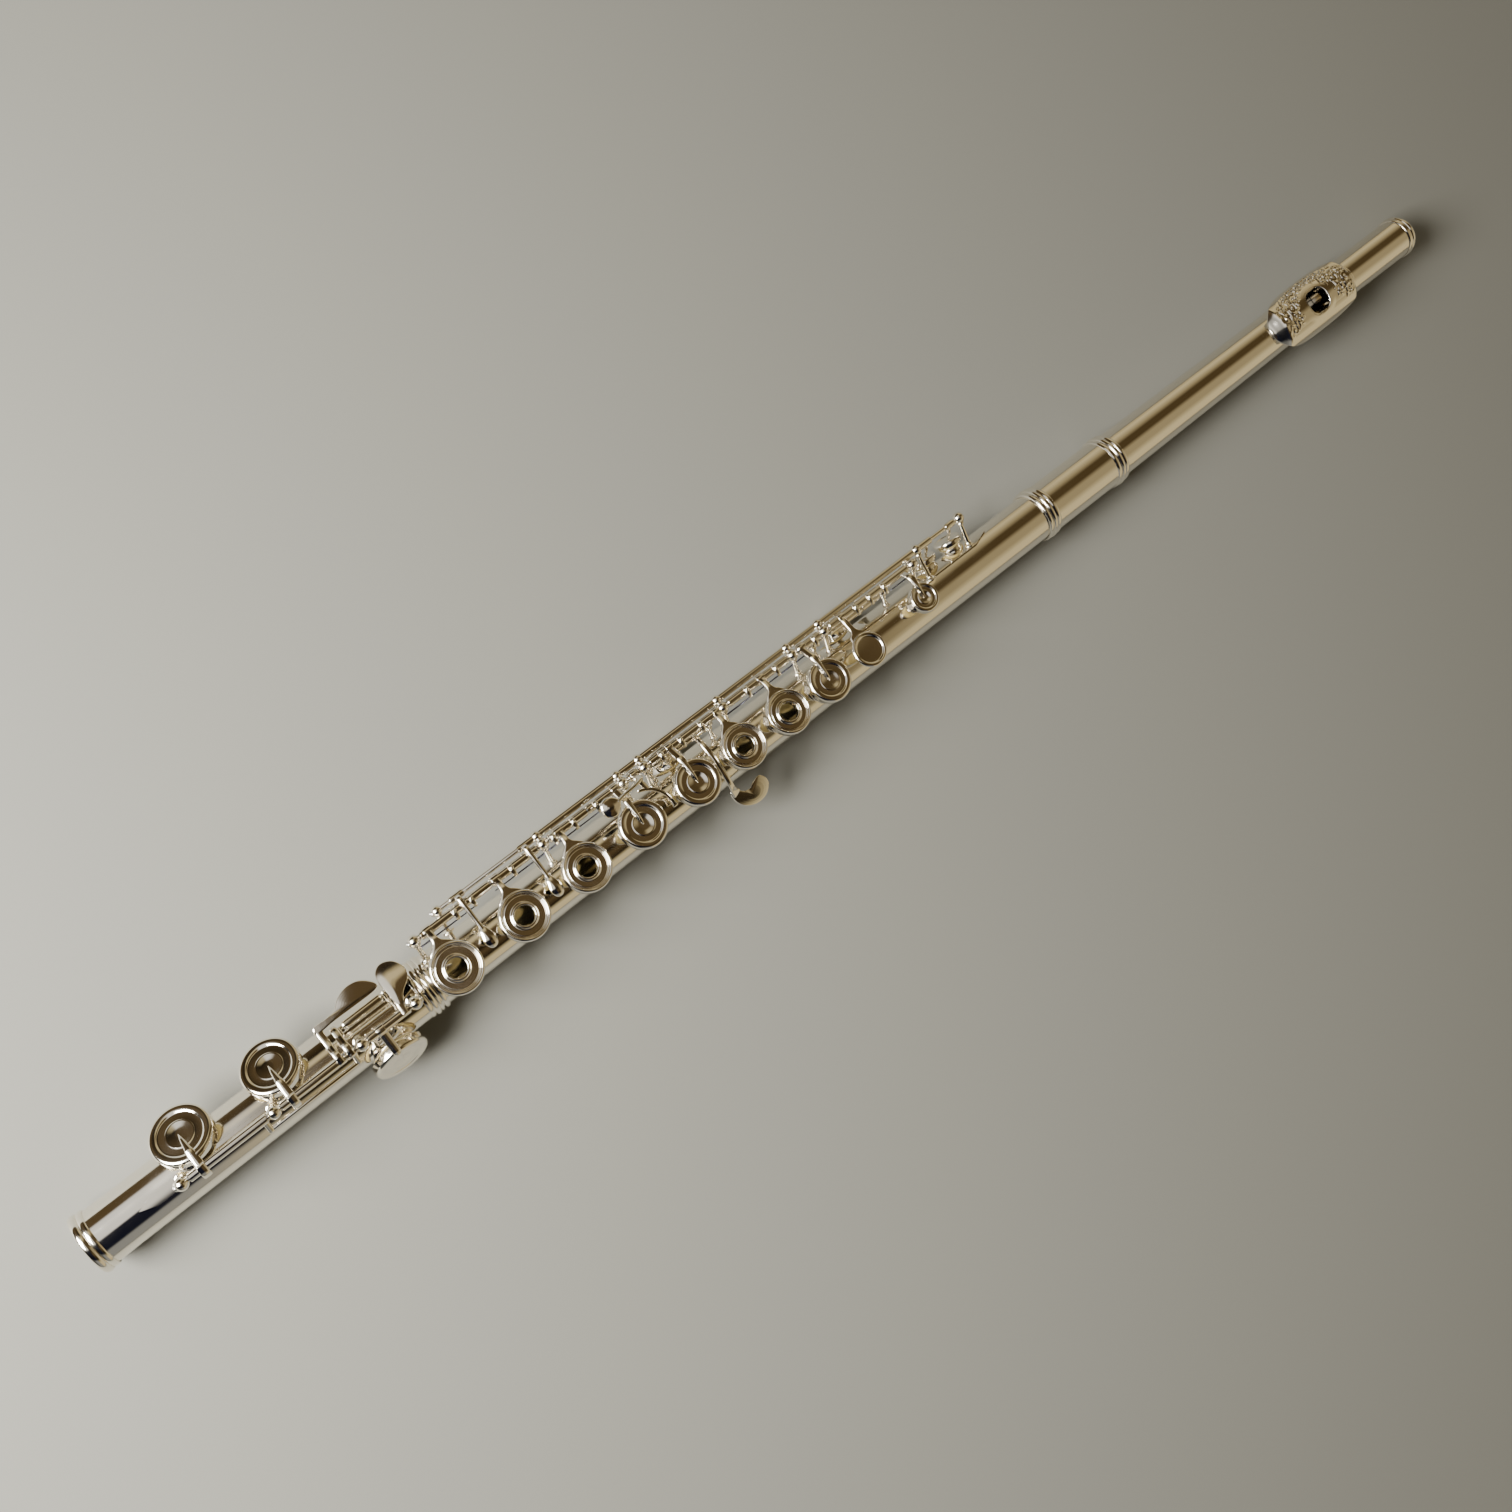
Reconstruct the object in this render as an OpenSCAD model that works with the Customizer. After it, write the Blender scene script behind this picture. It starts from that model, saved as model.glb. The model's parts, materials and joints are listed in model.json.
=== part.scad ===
/* [Tube] */
// Outer radius of the body and foot tubes
tube_r = 9.9; // [9.7:0.05:10.1]
// Bore radius of the body and foot tubes
bore_r = 9.5; // [9.3:0.05:9.6]
// Outer radius of the head tube at its closed end
head_end_r = 8.9; // [8.6:0.05:9.2]
// Whole length from the foot's open end to the crown's tip
total_len = 676; // [672:1:680]
// Distance of the tone-hole rims from the tube's axis
rim_z = 12; // [11.8:0.05:12.1]

/* [Keys] */
// Distance of the closed pads from the tube's axis
pad_z = 12.2; // [12.15:0.05:12.4]
// Sideways place of the main rod
rod_y = 15.9; // [15.7:0.1:16.2]
// Sideways place of the trill rod
trill_y = 19.3; // [19.2:0.1:19.6]
// Height of the trill rod
trill_z = 11; // [10.8:0.1:11.2]
// Outer radius of the key tubes
key_tube_r = 1.6; // [1.45:0.05:1.65]
// Radius of the steel rods
steel_r = 1; // [0.9:0.05:1.02]
// Angle by which an open key stands off its tone hole
open_deg = 8.5; // [7:0.5:9]

/* [Foot joint] */
// Height of the foot's rod above the tube's axis
foot_rod_z = 18.5; // [18.2:0.1:19]
// Direction of the low C and C sharp holes, from the top towards the player
foot_hole_deg = 45; // [44:0.5:46]
// Direction of the D sharp hole, from the top away from the player
foot_far_deg = 62; // [60:1:64]
// Angle by which the foot's open keys stand off
foot_open_deg = 8; // [6:0.5:8.5]

/* [Head joint] */
// Place of the mouth hole's centre along the tube
mouth_x = 603; // [600:1:606]
// Turn of the lip plate towards the player
head_turn = 4; // [0:1:8]
// Length of the mouth hole
mouth_l = 12.4; // [11.8:0.1:12.8]
// Width of the mouth hole
mouth_w = 10.4; // [10:0.1:10.8]

/* [Hidden] */

silver = [0.86, 0.83, 0.76];
steel = [0.55, 0.55, 0.57];
blue_steel = [0.16, 0.18, 0.26];
felt = [0.78, 0.68, 0.36];
cork = [0.72, 0.52, 0.34];

fine = 96;
small = 40;
run_gap = 0.05;
rod_z = pad_z;
key_bore_r = steel_r + run_gap;

// Tone holes along the body: place, hole radius, cup radius
d_hole = [140.8, 7.3, 9.35];
e_hole = [169.2, 7.1, 9.1];
f_hole = [196.3, 7.1, 9];
f_sharp_hole = [221.4, 7, 9];
low_g_hole = [246.5, 6.9, 8.8];
g_hole = [268.7, 6.8, 8.7];
a_hole = [290.2, 6.7, 8.6];
b_flat_hole = [310.6, 6.7, 8.5];
c_sharp_hole = [362.4, 3.6, 6];
c_sharp_y = 2.9;
c_touch = [330.8, 6.9];
top_holes = [d_hole, e_hole, f_hole, f_sharp_hole, low_g_hole, g_hole, a_hole, b_flat_hole];

// Holes on the rods' side: place, hole radius, cup radius, direction from the top
g_sharp_hole = [246.5, 6.6, 8.5];
thumb_hole = [331, 5.6, 7.5];
side_deg = 100;
d_trill_hole = [377.4, 3.9, 5.8];
d_sharp_trill_hole = [391.5, 3.9, 5.8];
trill_deg = 78;

// Foot holes
low_c_hole = [42.4, 8.1, 10.4];
low_c_sharp_hole = [75.5, 8, 10.1];
foot_d_sharp_hole = [109.7, 8, 10.1];

// Rods
main_post_x = [135.3, 189.5, 225.2, 235, 272, 306, 322, 368];
trill_start_x = 147.3;
trill_mid_x = 373.6;
trill_end_x = 396.8;
post_r = 2.3;
trill_post_r = 2;
trill_shaft_r = 0.9;
trill_tube_r = 1.4;
side_y = 13.9;
side_z = 8.7;
side_tube_r = 1.5;
g_sharp_post_x = [236.6, 264.6];
thumb_post_x = [316.4, 352.6];
foot_post_x = [34.4, 68.3, 102, 123.3];
foot_post_r = 2.4;
bridge_y = -4.4;
bridge_z = 17.4;

// Joint between body and foot
tenon_end_x = 118.6;
body_start_x = 131.3;
socket_x = tenon_end_x - 0.8;
socket_r = 9.9 + run_gap;

// Joint between body and head
body_end_x = 440.5;
head_start_x = 441;
barrel_x = [431, 478.4];
barrel_bore_r = tube_r + 0.02;
barrel_r = 10.45;

// Key travel at the pads
cup_h = 4.2;
small_cup_h = 3;
pad_h = 2.6;
small_pad_h = 1.7;

// Rounded outline pieces
function arc(cx, cy, r, a0, a1, n) = [for (i = [0 : n]) let (a = a0 + (a1 - a0) * i / n)
    [cx + r * cos(a), cy + r * sin(a)]];

// A solid turned about the tube's axis, from [radius, place] pairs
module turned(points) {
    rotate([0, 90, 0]) rotate_extrude($fn = fine) polygon(points);
}

// A round bar along X
module bar_x(x0, x1, r, fn = small) {
    translate([x0, 0, 0]) rotate([0, 90, 0]) cylinder(r = r, h = x1 - x0, $fn = fn);
}

// Turns a local frame, whose +Z is a hole's direction, to its place round the tube
module facing(deg) { rotate([-deg, 0, 0]) children(); }

// Turns children about a rod at y, z
module about(y, z, deg) { translate([0, y, z]) rotate([deg, 0, 0]) translate([0, -y, -z]) children(); }

// A plate cut to a side outline and to a plan outline
module cut_plate(side, plan, x, z_top = 30) {
    intersection() {
        translate([x - 12, 0, 0]) rotate([90, 0, 90]) linear_extrude(24) polygon(side);
        translate([x, 0, -z_top]) linear_extrude(2 * z_top) polygon(plan);
    }
}

// Cup with an open finger hole, seated at z
module open_cup(r, z) {
    translate([0, 0, z]) rotate_extrude($fn = fine) polygon([[3.5, 0.8], [3.9, 0.8], [3.9, pad_h], [r - 0.5, pad_h],
        [r - 0.5, 0.7], [r, 0.7], [r, 3.1], [r - 0.5, 3.9], [r - 1.3, cup_h], [r - 2.1, 4], [r - 2.7, 3.5],
        [r - 3.3, 3.7], [r - 3.9, 3.7], [3.5, 3.2]]);
}

// Cup with a closed top, seated at z
module closed_cup(r, z, h = cup_h, inner = pad_h) {
    translate([0, 0, z]) rotate_extrude($fn = fine) polygon([[0, inner], [r - 0.5, inner], [r - 0.5, 0.7],
        [r, 0.7], [r, h - 1.1], [r - 0.5, h - 0.3], [r - 1.3, h], [r * 0.72, h + 0.05], [r * 0.66, h - 0.5],
        [r * 0.4, h - 0.55], [0, h - 0.35]]);
}

module ring_pad(r, z) {
    translate([0, 0, z]) difference() {
        cylinder(r = r - 0.55, h = pad_h, $fn = fine);
        translate([0, 0, -1]) cylinder(r = 3.95, h = pad_h + 2, $fn = fine);
    }
}

module full_pad(r, z, h = pad_h) {
    translate([0, 0, z]) cylinder(r = r - 0.55, h = h, $fn = fine);
}

// Pointed arm from a rod at +y to the middle of a cup's top
module pointed_arm(x, y, z, top, tip = 0) {
    side = [[tip, top - 0.5], [tip, top + 0.25], [tip + 4, top + 0.9], [y - 4.6, top + 1.1], [y - 1.4, z + 2.1],
        [y, z + 1.5], [y + 1.2, z], [y, z - 1.2], [y - 1.5, z + 0.5], [y - 4.4, top - 0.5]];
    plan = [[-0.3, tip], [0.3, tip], [1.35, y - 5], [1.2, y + 2], [-1.2, y + 2], [-1.35, y - 5]];
    cut_plate(side, plan, x);
}

// Arm that spreads into a wide foot on the cup's side
module spread_arm(x, y, z, cup_r, spread) {
    r = cup_r;
    side = [[r - 1.8, z + 2.2], [r - 1.8, z + 3.4], [r + 0.2, z + 3.5], [y - 3, z + 2.9], [y, z + 1.6],
        [y + 1.2, z], [y, z - 1.2], [y - 1.9, z + 0.5], [r + 0.3, z + 1.9]];
    plan = [[-spread, r - 2], [spread, r - 2], [spread * 0.9, r - 0.6], [1.5, r + 3], [1.15, r + 4.4],
        [1.15, y + 2], [-1.15, y + 2], [-1.15, r + 4.4], [-1.5, r + 3], [-spread * 0.9, r - 0.6]];
    cut_plate(side, plan, x);
}

// Small adjusting lug with its screw, on top of a key tube
module lug(x, y, z) {
    translate([x - 0.9, y - 1.1, z + 0.9]) cube([1.8, 2.2, 1.4]);
    translate([x, y, z + 2.3]) sphere(r = 0.75, $fn = 24);
}

// Key tube on a rod at y, z
module key_tube(x0, x1, y, z, r = key_tube_r) {
    translate([0, y, z]) bar_x(x0, x1, r);
}

module rod_bore(x0, x1, y, z, r = key_bore_r) {
    translate([0, y, z]) bar_x(x0 - 1, x1 + 1, r);
}

// An open-hole key on the main rod: its tube, spread arm, cup and lugs
module open_hole_key(hole, tube, lugs, arm_dx = 0) {
    about(rod_y, rod_z, -open_deg) difference() {
        union() {
            key_tube(tube[0], tube[1], rod_y, rod_z);
            translate([hole[0], 0, 0]) open_cup(hole[2], pad_z);
            difference() {
                spread_arm(hole[0] + arm_dx, rod_y, rod_z, hole[2], hole[2] * 0.55);
                translate([hole[0], 0, pad_z - 1]) cylinder(r = hole[2] - 0.5, h = pad_h + 1, $fn = fine);
            }
            for (x = lugs) lug(x, rod_y, rod_z);
        }
        rod_bore(tube[0], tube[1], rod_y, rod_z);
    }
}

// A closed key with a pointed arm on the main rod
module closed_key(hole, tube, lugs) {
    about(rod_y, rod_z, -open_deg) difference() {
        union() {
            key_tube(tube[0], tube[1], rod_y, rod_z);
            translate([hole[0], 0, 0]) closed_cup(hole[2], pad_z);
            pointed_arm(hole[0], rod_y, rod_z, pad_z + cup_h);
            for (x = lugs) lug(x, rod_y, rod_z);
        }
        rod_bore(tube[0], tube[1], rod_y, rod_z);
    }
}

module chimney(x, y, r, top) {
    translate([x, y, 0]) cylinder(r = r, h = top, $fn = fine);
}

module rolled_rim(x, y, r, top) {
    translate([x, y, top - 0.45]) rotate_extrude($fn = fine) translate([r + 0.3, 0]) circle(r = 0.45, $fn = 16);
}

// Ball-headed post from the tube, in direction deg, to a head at y, z
module post(x, y, z, foot_deg, r, foot_dist = 10.2, stem_r = 1.1) {
    foot_y = foot_dist * sin(foot_deg);
    foot_z = foot_dist * cos(foot_deg);
    len = norm([y - foot_y, z - foot_z]);
    flare_h = 1.4;
    translate([x, foot_y, foot_z]) rotate([atan2(foot_y - y, z - foot_z), 0, 0]) {
        translate([0, 0, flare_h]) cylinder(r = stem_r, h = len - r * 0.7 - flare_h, $fn = small);
        cylinder(r1 = stem_r + 1.1, r2 = stem_r, h = flare_h, $fn = small);
        translate([0, 0, len]) sphere(r = r, $fn = small);
    }
}

// Strap that lies on the tube in the direction deg, pointed at both ends
module strap(x0, x1, half_w, deg, tip) {
    facing(deg) intersection() {
        difference() {
            bar_x(x0, x1, tube_r + 0.75, fine);
            bar_x(x0 - 1, x1 + 1, tube_r + 0.02, fine);
        }
        linear_extrude(20) polygon([[x0, 0], [x0 + tip, half_w], [x1 - tip, half_w], [x1, 0],
            [x1 - tip, -half_w], [x0 + tip, -half_w]]);
    }
}

// Screw head with its slot, at the end of a rod
module slotted_head(x, y, z, dir) {
    translate([x, y, z]) rotate([0, 90 * dir, 0]) difference() {
        cylinder(r1 = 1.25, r2 = 1, h = 0.8, $fn = 24);
        translate([-2, -0.15, 0.45]) cube([4, 0.3, 1]);
    }
}

/* ---- head joint ---- */

module mouth_hole(z0, z1, grow = 0) {
    l = mouth_l / 2 + grow;
    w = mouth_w / 2 + grow;
    corner = 4.4;
    translate([mouth_x, 0, z0]) linear_extrude(z1 - z0) polygon(concat(
        arc(l - corner, w - corner, corner, 0, 90, 8), arc(corner - l, w - corner, corner, 90, 180, 8),
        arc(corner - l, corner - w, corner, 180, 270, 8), arc(l - corner, corner - w, corner, 270, 360, 8)));
}

module head_tube() {
    tenon_r = barrel_bore_r - 0.04;
    wall = 0.4;
    taper_x = mouth_x - 3;
    end_x = total_len - 7;
    color(silver) difference() {
        turned([[tenon_r, head_start_x], [tenon_r, barrel_x[1]], [tenon_r - 0.02, barrel_x[1] + 4],
            [head_end_r, taper_x], [head_end_r, end_x], [head_end_r - wall, end_x],
            [head_end_r - wall, taper_x], [bore_r, barrel_x[1] + 4], [bore_r, head_start_x]]);
        facing(head_turn) mouth_hole(0, 20);
    }
}

// Rounded outline of the lip plate, seen from above
module plate_outline(z0, z1) {
    half_l = 27.5;
    half_w = 12;
    bend = 2.7;
    translate([mouth_x - 1, 0, z0]) linear_extrude(z1 - z0) polygon([for (i = [0 : 119])
        let (a = 3 * i, along = abs(cos(a)) / half_l, across = abs(sin(a)) / half_w,
            reach = pow(pow(along, bend) + pow(across, bend), -1 / bend))
        [reach * cos(a), reach * sin(a)]]);
}

// The plate: a shell with ends that slope down to the tube
module lip_plate() {
    wall = 0.9;
    slope = [[-27.5, 9.9], [-25.2, 11.5], [-23, 13.3], [-20.5, 13.9],
        [20.5, 13.9], [23, 13.3], [25.2, 11.5], [27.5, 9.9]];
    color(silver) facing(head_turn) difference() {
        intersection() {
            turned(concat([for (p = slope) [p[1], mouth_x - 1 + p[0]]],
                [for (i = [7 : -1 : 0]) [slope[i][1] - wall, mouth_x - 1 + slope[i][0]]]));
            plate_outline(2, 20);
        }
        mouth_hole(0, 20);
    }
}

module lip_riser() {
    color(silver) facing(head_turn) difference() {
        intersection() {
            translate([mouth_x, 0, 0]) cylinder(r = 8.4, h = 20, $fn = fine);
            bar_x(mouth_x - 20, mouth_x + 20, 12.98, fine);
        }
        bar_x(mouth_x - 21, mouth_x + 21, head_end_r + 0.02, fine);
        mouth_hole(0, 20);
    }
}

module crown() {
    x0 = total_len - 6.8;
    plug_r = head_end_r - 0.45;
    color(silver) difference() {
        turned([[0, x0 - 5], [plug_r - 0.5, x0 - 5], [plug_r, x0 - 4.5], [plug_r, x0], [9.1, x0], [9.4, x0 + 0.5],
            [9.4, x0 + 1.5], [9.1, x0 + 2], [9.1, x0 + 2.6], [9.35, x0 + 3], [9.1, x0 + 4.3], [8.2, x0 + 5.6],
            [6, x0 + 6.5], [0, x0 + 6.8]]);
        translate([x0 - 6, 0, 0]) rotate([0, 90, 0]) cylinder(r = 2, h = 9, $fn = small);
    }
}

stopper_x = mouth_x + 17;
bore_end_r = head_end_r - 0.4;

module stopper_cork() {
    color(cork) turned([[2.2, stopper_x + 1.5], [bore_end_r - 0.06, stopper_x + 1.5],
        [bore_end_r - 0.06, stopper_x + 17], [2.2, stopper_x + 17]]);
}

module stopper_rod() {
    color(silver) turned([[0, stopper_x], [bore_end_r - 0.3, stopper_x], [bore_end_r - 0.3, stopper_x + 1.5],
        [1.95, stopper_x + 1.5], [1.95, total_len - 6.8 + 1.6], [0, total_len - 6.8 + 1.6]]);
}

module stopper_plate() {
    color(silver) turned([[2, stopper_x + 17], [bore_end_r - 0.6, stopper_x + 17],
        [bore_end_r - 0.6, stopper_x + 18.4], [2, stopper_x + 18.4]]);
}

/* ---- body joint ---- */

module body_tube() {
    wall = 0.45;
    color(silver) difference() {
        union() {
            bar_x(tenon_end_x, body_end_x, tube_r, fine);
            for (h = top_holes) {
                chimney(h[0], 0, h[1] + wall, rim_z);
                rolled_rim(h[0], 0, h[1], rim_z);
            }
            chimney(c_sharp_hole[0], c_sharp_y, c_sharp_hole[1] + wall, rim_z);
            rolled_rim(c_sharp_hole[0], c_sharp_y, c_sharp_hole[1], rim_z);
            facing(side_deg) for (h = [g_sharp_hole, thumb_hole]) {
                chimney(h[0], 0, h[1] + wall, rim_z);
                rolled_rim(h[0], 0, h[1], rim_z);
            }
            facing(trill_deg) for (h = [d_trill_hole, d_sharp_trill_hole]) {
                chimney(h[0], 0, h[1] + wall, rim_z);
                rolled_rim(h[0], 0, h[1], rim_z);
            }
        }
        bar_x(tenon_end_x - 1, body_end_x + 1, bore_r, fine);
        for (h = top_holes) chimney(h[0], 0, h[1], rim_z + 2);
        chimney(c_sharp_hole[0], c_sharp_y, c_sharp_hole[1], rim_z + 2);
        facing(side_deg) for (h = [g_sharp_hole, thumb_hole]) chimney(h[0], 0, h[1], rim_z + 2);
        facing(trill_deg) for (h = [d_trill_hole, d_sharp_trill_hole]) chimney(h[0], 0, h[1], rim_z + 2);
    }
}

// Half-round beads as [radius, place] points between two places
function bead(x0, x1, base, top, n) = [for (i = [0 : n]) let (a = 180 * i / n)
    [base + (top - base) * sin(a), x0 + (x1 - x0) * (1 - cos(a)) / 2]];

module barrel() {
    bead_w = 2.2;
    a = barrel_x[0];
    b = barrel_x[1] - 3 * bead_w;
    color(silver) turned(concat(bead(a, a + bead_w, barrel_r, 11.1, 8),
        bead(a + bead_w, a + 2 * bead_w, barrel_r, 11.3, 8),
        bead(a + 2 * bead_w, a + 3 * bead_w, barrel_r, 11.05, 8),
        bead(b, b + bead_w, barrel_r, 11.05, 8), bead(b + bead_w, b + 2 * bead_w, barrel_r, 11.3, 8),
        bead(b + 2 * bead_w, b + 3 * bead_w, barrel_r, 11, 8),
        [[barrel_bore_r, barrel_x[1]], [barrel_bore_r, barrel_x[0]]]));
}

module tenon_ring() {
    color(silver) turned(concat(bead(body_start_x, body_start_x + 1.9, 10.3, 10.75, 8),
        [[tube_r + 0.02, body_start_x + 1.9], [tube_r + 0.02, body_start_x]]));
}

rod_deg = atan2(rod_y, rod_z);

module main_rib() {
    color(silver) strap(body_start_x + 2.4, 406, 2.6, rod_deg, 7);
}

module main_posts() {
    color(silver) for (x = main_post_x) difference() {
        post(x, rod_y, rod_z, rod_deg, post_r);
        rod_bore(x - 3, x + 3, rod_y, rod_z, steel_r + 0.02);
        rod_bore(x - 3, x + 3, trill_y, trill_z, trill_tube_r + 0.3);
    }
}

module trill_post(x, foot_deg, bore) {
    difference() {
        post(x, trill_y, trill_z, foot_deg, trill_post_r, 9.95, 0.9);
        rod_bore(x - 3, x + 3, trill_y, trill_z, bore);
        bar_x(x - 4, x + 4, tube_r - 0.2);
    }
}

// Ball with a hole along X
module guide_ball(r, bore) {
    rotate([0, 90, 0]) rotate_extrude($fn = small) intersection() {
        circle(r = r, $fn = small);
        translate([bore, -r]) square([r, 2 * r]);
    }
}

// Three posts of the trill rod, and the guide balls on the main posts that it passes through
module trill_posts() {
    color(silver) {
        trill_post(trill_start_x, 88, trill_shaft_r + run_gap);
        trill_post(trill_mid_x, 38, trill_tube_r + run_gap);
        trill_post(trill_end_x, 50, trill_shaft_r + run_gap);
        for (x = main_post_x) if (x > d_trill_tube[0] && x < trill_mid_x - 10)
            translate([x, trill_y, trill_z]) guide_ball(trill_post_r, trill_tube_r + run_gap);
    }
}

module main_steel() {
    color(steel) translate([0, rod_y, rod_z]) bar_x(main_post_x[0] - 2, 370, steel_r);
}

module pivot_screws() {
    color(steel) {
        slotted_head(main_post_x[0] - 2.05, rod_y, rod_z, -1);
        slotted_head(370.05, rod_y, rod_z, 1);
        slotted_head(trill_start_x - 1.75, trill_y, trill_z, -1);
        slotted_head(trill_end_x + 1.75, trill_y, trill_z, 1);
        for (x = concat(g_sharp_post_x[0], thumb_post_x[0])) slotted_head(x - 1.5, side_y, side_z, -1);
        for (x = concat(g_sharp_post_x[1], thumb_post_x[1])) slotted_head(x + 1.5, side_y, side_z, 1);
    }
}

module side_posts() {
    post_deg = atan2(side_y, side_z);
    color(silver) difference() {
        for (x = concat(g_sharp_post_x, thumb_post_x)) post(x, side_y, side_z, post_deg, 1.8, 9.95, 0.9);
        for (p = [g_sharp_post_x, thumb_post_x]) rod_bore(p[0], p[1], side_y, side_z, 0.82);
    }
}

module side_steels() {
    color(steel) for (p = [g_sharp_post_x, thumb_post_x])
        translate([0, side_y, side_z]) bar_x(p[0] - 1.6, p[1] + 1.6, 0.8);
}

// Needle springs: thin bars that leave the posts beside the rod
module needle_springs() {
    spring_y = 12.6;
    spring_z = 9.7;
    color(blue_steel) for (s = [[135.3, 24], [189.5, -22], [189.5, 24], [225.2, -18], [272, 22], [306, -20],
            [306, 8], [368, -12]])
        translate([0, spring_y, spring_z]) bar_x(min(s[0], s[0] + s[1]), max(s[0], s[0] + s[1]), 0.35, 16);
}

d_tube = [137.9, 166.6];
e_tube = [167, 186.9];
f_tube = [192.1, 208.6];
f_sharp_tube = [209, 222.6];
side_lever_tube = [227.8, 232.4];
g_tube = [237.6, 269.4];
a_tube = [274.6, 303.4];
b_flat_tube = [308.6, 319.4];
c_tube = [324.6, 365.4];

module d_key() { color(silver) open_hole_key(d_hole, d_tube, [151.5, 158.6]); }
module e_key() { color(silver) open_hole_key(e_hole, e_tube, [173.6]); }
module f_key() { color(silver) open_hole_key(f_hole, f_tube, [194.5, 201.5]); }
module g_keys() {
    color(silver) about(rod_y, rod_z, -open_deg) difference() {
        union() {
            key_tube(g_tube[0], g_tube[1], rod_y, rod_z);
            translate([g_hole[0], 0, 0]) open_cup(g_hole[2], pad_z);
            translate([low_g_hole[0], 0, 0]) closed_cup(low_g_hole[2], pad_z);
            pointed_arm(low_g_hole[0], rod_y, rod_z, pad_z + cup_h);
            difference() {
                spread_arm(g_hole[0] - 0.8, rod_y, rod_z, g_hole[2], g_hole[2] * 0.55);
                translate([g_hole[0], 0, pad_z - 1]) cylinder(r = g_hole[2] - 0.5, h = pad_h + 1, $fn = fine);
            }
            for (x = [242.4, 251.5, 264]) lug(x, rod_y, rod_z);
        }
        rod_bore(g_tube[0], g_tube[1], rod_y, rod_z);
    }
}
module a_key() { color(silver) open_hole_key(a_hole, a_tube, [286.4, 297]); }
module f_sharp_key() { color(silver) closed_key(f_sharp_hole, f_sharp_tube, [213.2, 217.4]); }
module b_flat_key() { color(silver) closed_key(b_flat_hole, b_flat_tube, [316.4]); }

module pad_node(hole, open_hole) {
    color(felt) about(rod_y, rod_z, -open_deg) translate([hole[0], 0, 0]) {
        if (open_hole) ring_pad(hole[2], pad_z);
        else full_pad(hole[2], pad_z);
    }
}

module d_pad() { pad_node(d_hole, true); }
module e_pad() { pad_node(e_hole, true); }
module f_pad() { pad_node(f_hole, true); }
module a_pad() { pad_node(a_hole, true); }
module f_sharp_pad() { pad_node(f_sharp_hole, false); }
module b_flat_pad() { pad_node(b_flat_hole, false); }
module g_pads() { pad_node(g_hole, true); pad_node(low_g_hole, false); }

// First-finger key: a round touch and, farther up, the small cup it closes
module c_key() {
    r = c_touch[1];
    color(silver) about(rod_y, rod_z, -open_deg) difference() {
        union() {
            key_tube(c_tube[0], c_tube[1], rod_y, rod_z);
            translate([c_touch[0], 0, pad_z]) rotate_extrude($fn = fine) polygon([[0, 2.4], [r - 0.6, 2.4],
                [r, 2.9], [r, 3.8], [r - 0.5, cup_h], [r - 1.1, cup_h], [r - 1.7, 3.8], [0, 3.7]]);
            spread_arm(c_touch[0] - 0.6, rod_y, rod_z, r, r * 0.5);
            translate([c_sharp_hole[0], c_sharp_y, 0]) closed_cup(c_sharp_hole[2], pad_z, small_cup_h + 0.6, 2);
            pointed_arm(c_sharp_hole[0] - 0.3, rod_y, rod_z, pad_z + small_cup_h + 0.6, c_sharp_y);
            for (x = [337, 344.6, 352]) lug(x, rod_y, rod_z);
        }
        rod_bore(c_tube[0], c_tube[1], rod_y, rod_z);
    }
}

module c_pads() {
    color(felt) about(rod_y, rod_z, -open_deg) {
        translate([c_sharp_hole[0], c_sharp_y, 0]) full_pad(c_sharp_hole[2], pad_z, 2);
        translate([c_touch[0], 0, pad_z + 0.9]) cylinder(r = 4.4, h = 1.5, $fn = small);
    }
}

/* ---- keys on the rods' side ---- */

// Height of the side rod in the frame that faces a side hole, and its sideways place there
side_local_y = side_y * cos(side_deg) - side_z * sin(side_deg);
side_local_z = side_y * sin(side_deg) + side_z * cos(side_deg);

module side_cup(hole, arm_x) {
    facing(side_deg) {
        translate([hole[0], 0, 0]) closed_cup(hole[2], pad_z);
        mirror([0, 1, 0]) pointed_arm(arm_x, -side_local_y, side_local_z, pad_z + cup_h - 0.5, -1.5);
    }
}

g_sharp_tube = [239, 262.2];

module g_sharp_key() {
    lever_x = 257.7;
    lever = [[side_y - 0.6, side_z - 1], [side_y + 1.2, side_z + 0.6], [12.4, 12], [8.5, 13.7], [3, 14.4], [-6, 13.7],
        [-10.4, 11.4], [-12, 8.6], [-11.4, 7], [-9.2, 9.8], [-5.6, 12.2], [3, 12.9], [7.6, 12.1], [11, 10.2]];
    blade = concat(arc(259.2, -13, 2.9, 100, 180, 6), arc(262.6, -14.9, 6.3, 180, 262, 8),
        arc(267.6, -16.6, 4.4, 275, 400, 10), arc(262.4, -8, 3.4, 300, 268, 4));
    color(silver) difference() {
        union() {
            key_tube(g_sharp_tube[0], g_sharp_tube[1], side_y, side_z, side_tube_r);
            side_cup(g_sharp_hole, g_sharp_hole[0]);
            cut_plate(lever, [[-1.2, -12.4], [1.2, -12.4], [1.2, 16], [-1.2, 16]], lever_x);
            intersection() {
                linear_extrude(20) polygon(blade);
                rotate([90, 0, 90]) translate([0, 0, 240]) linear_extrude(40) polygon([[-9, 11.6], [-12, 9.6],
                    [-16, 8], [-23, 6.6], [-23, 5.1], [-16, 6.4], [-12, 7.8], [-9, 9.6]]);
            }
        }
        rod_bore(g_sharp_tube[0], g_sharp_tube[1], side_y, side_z, 0.8 + run_gap);
    }
}

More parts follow.
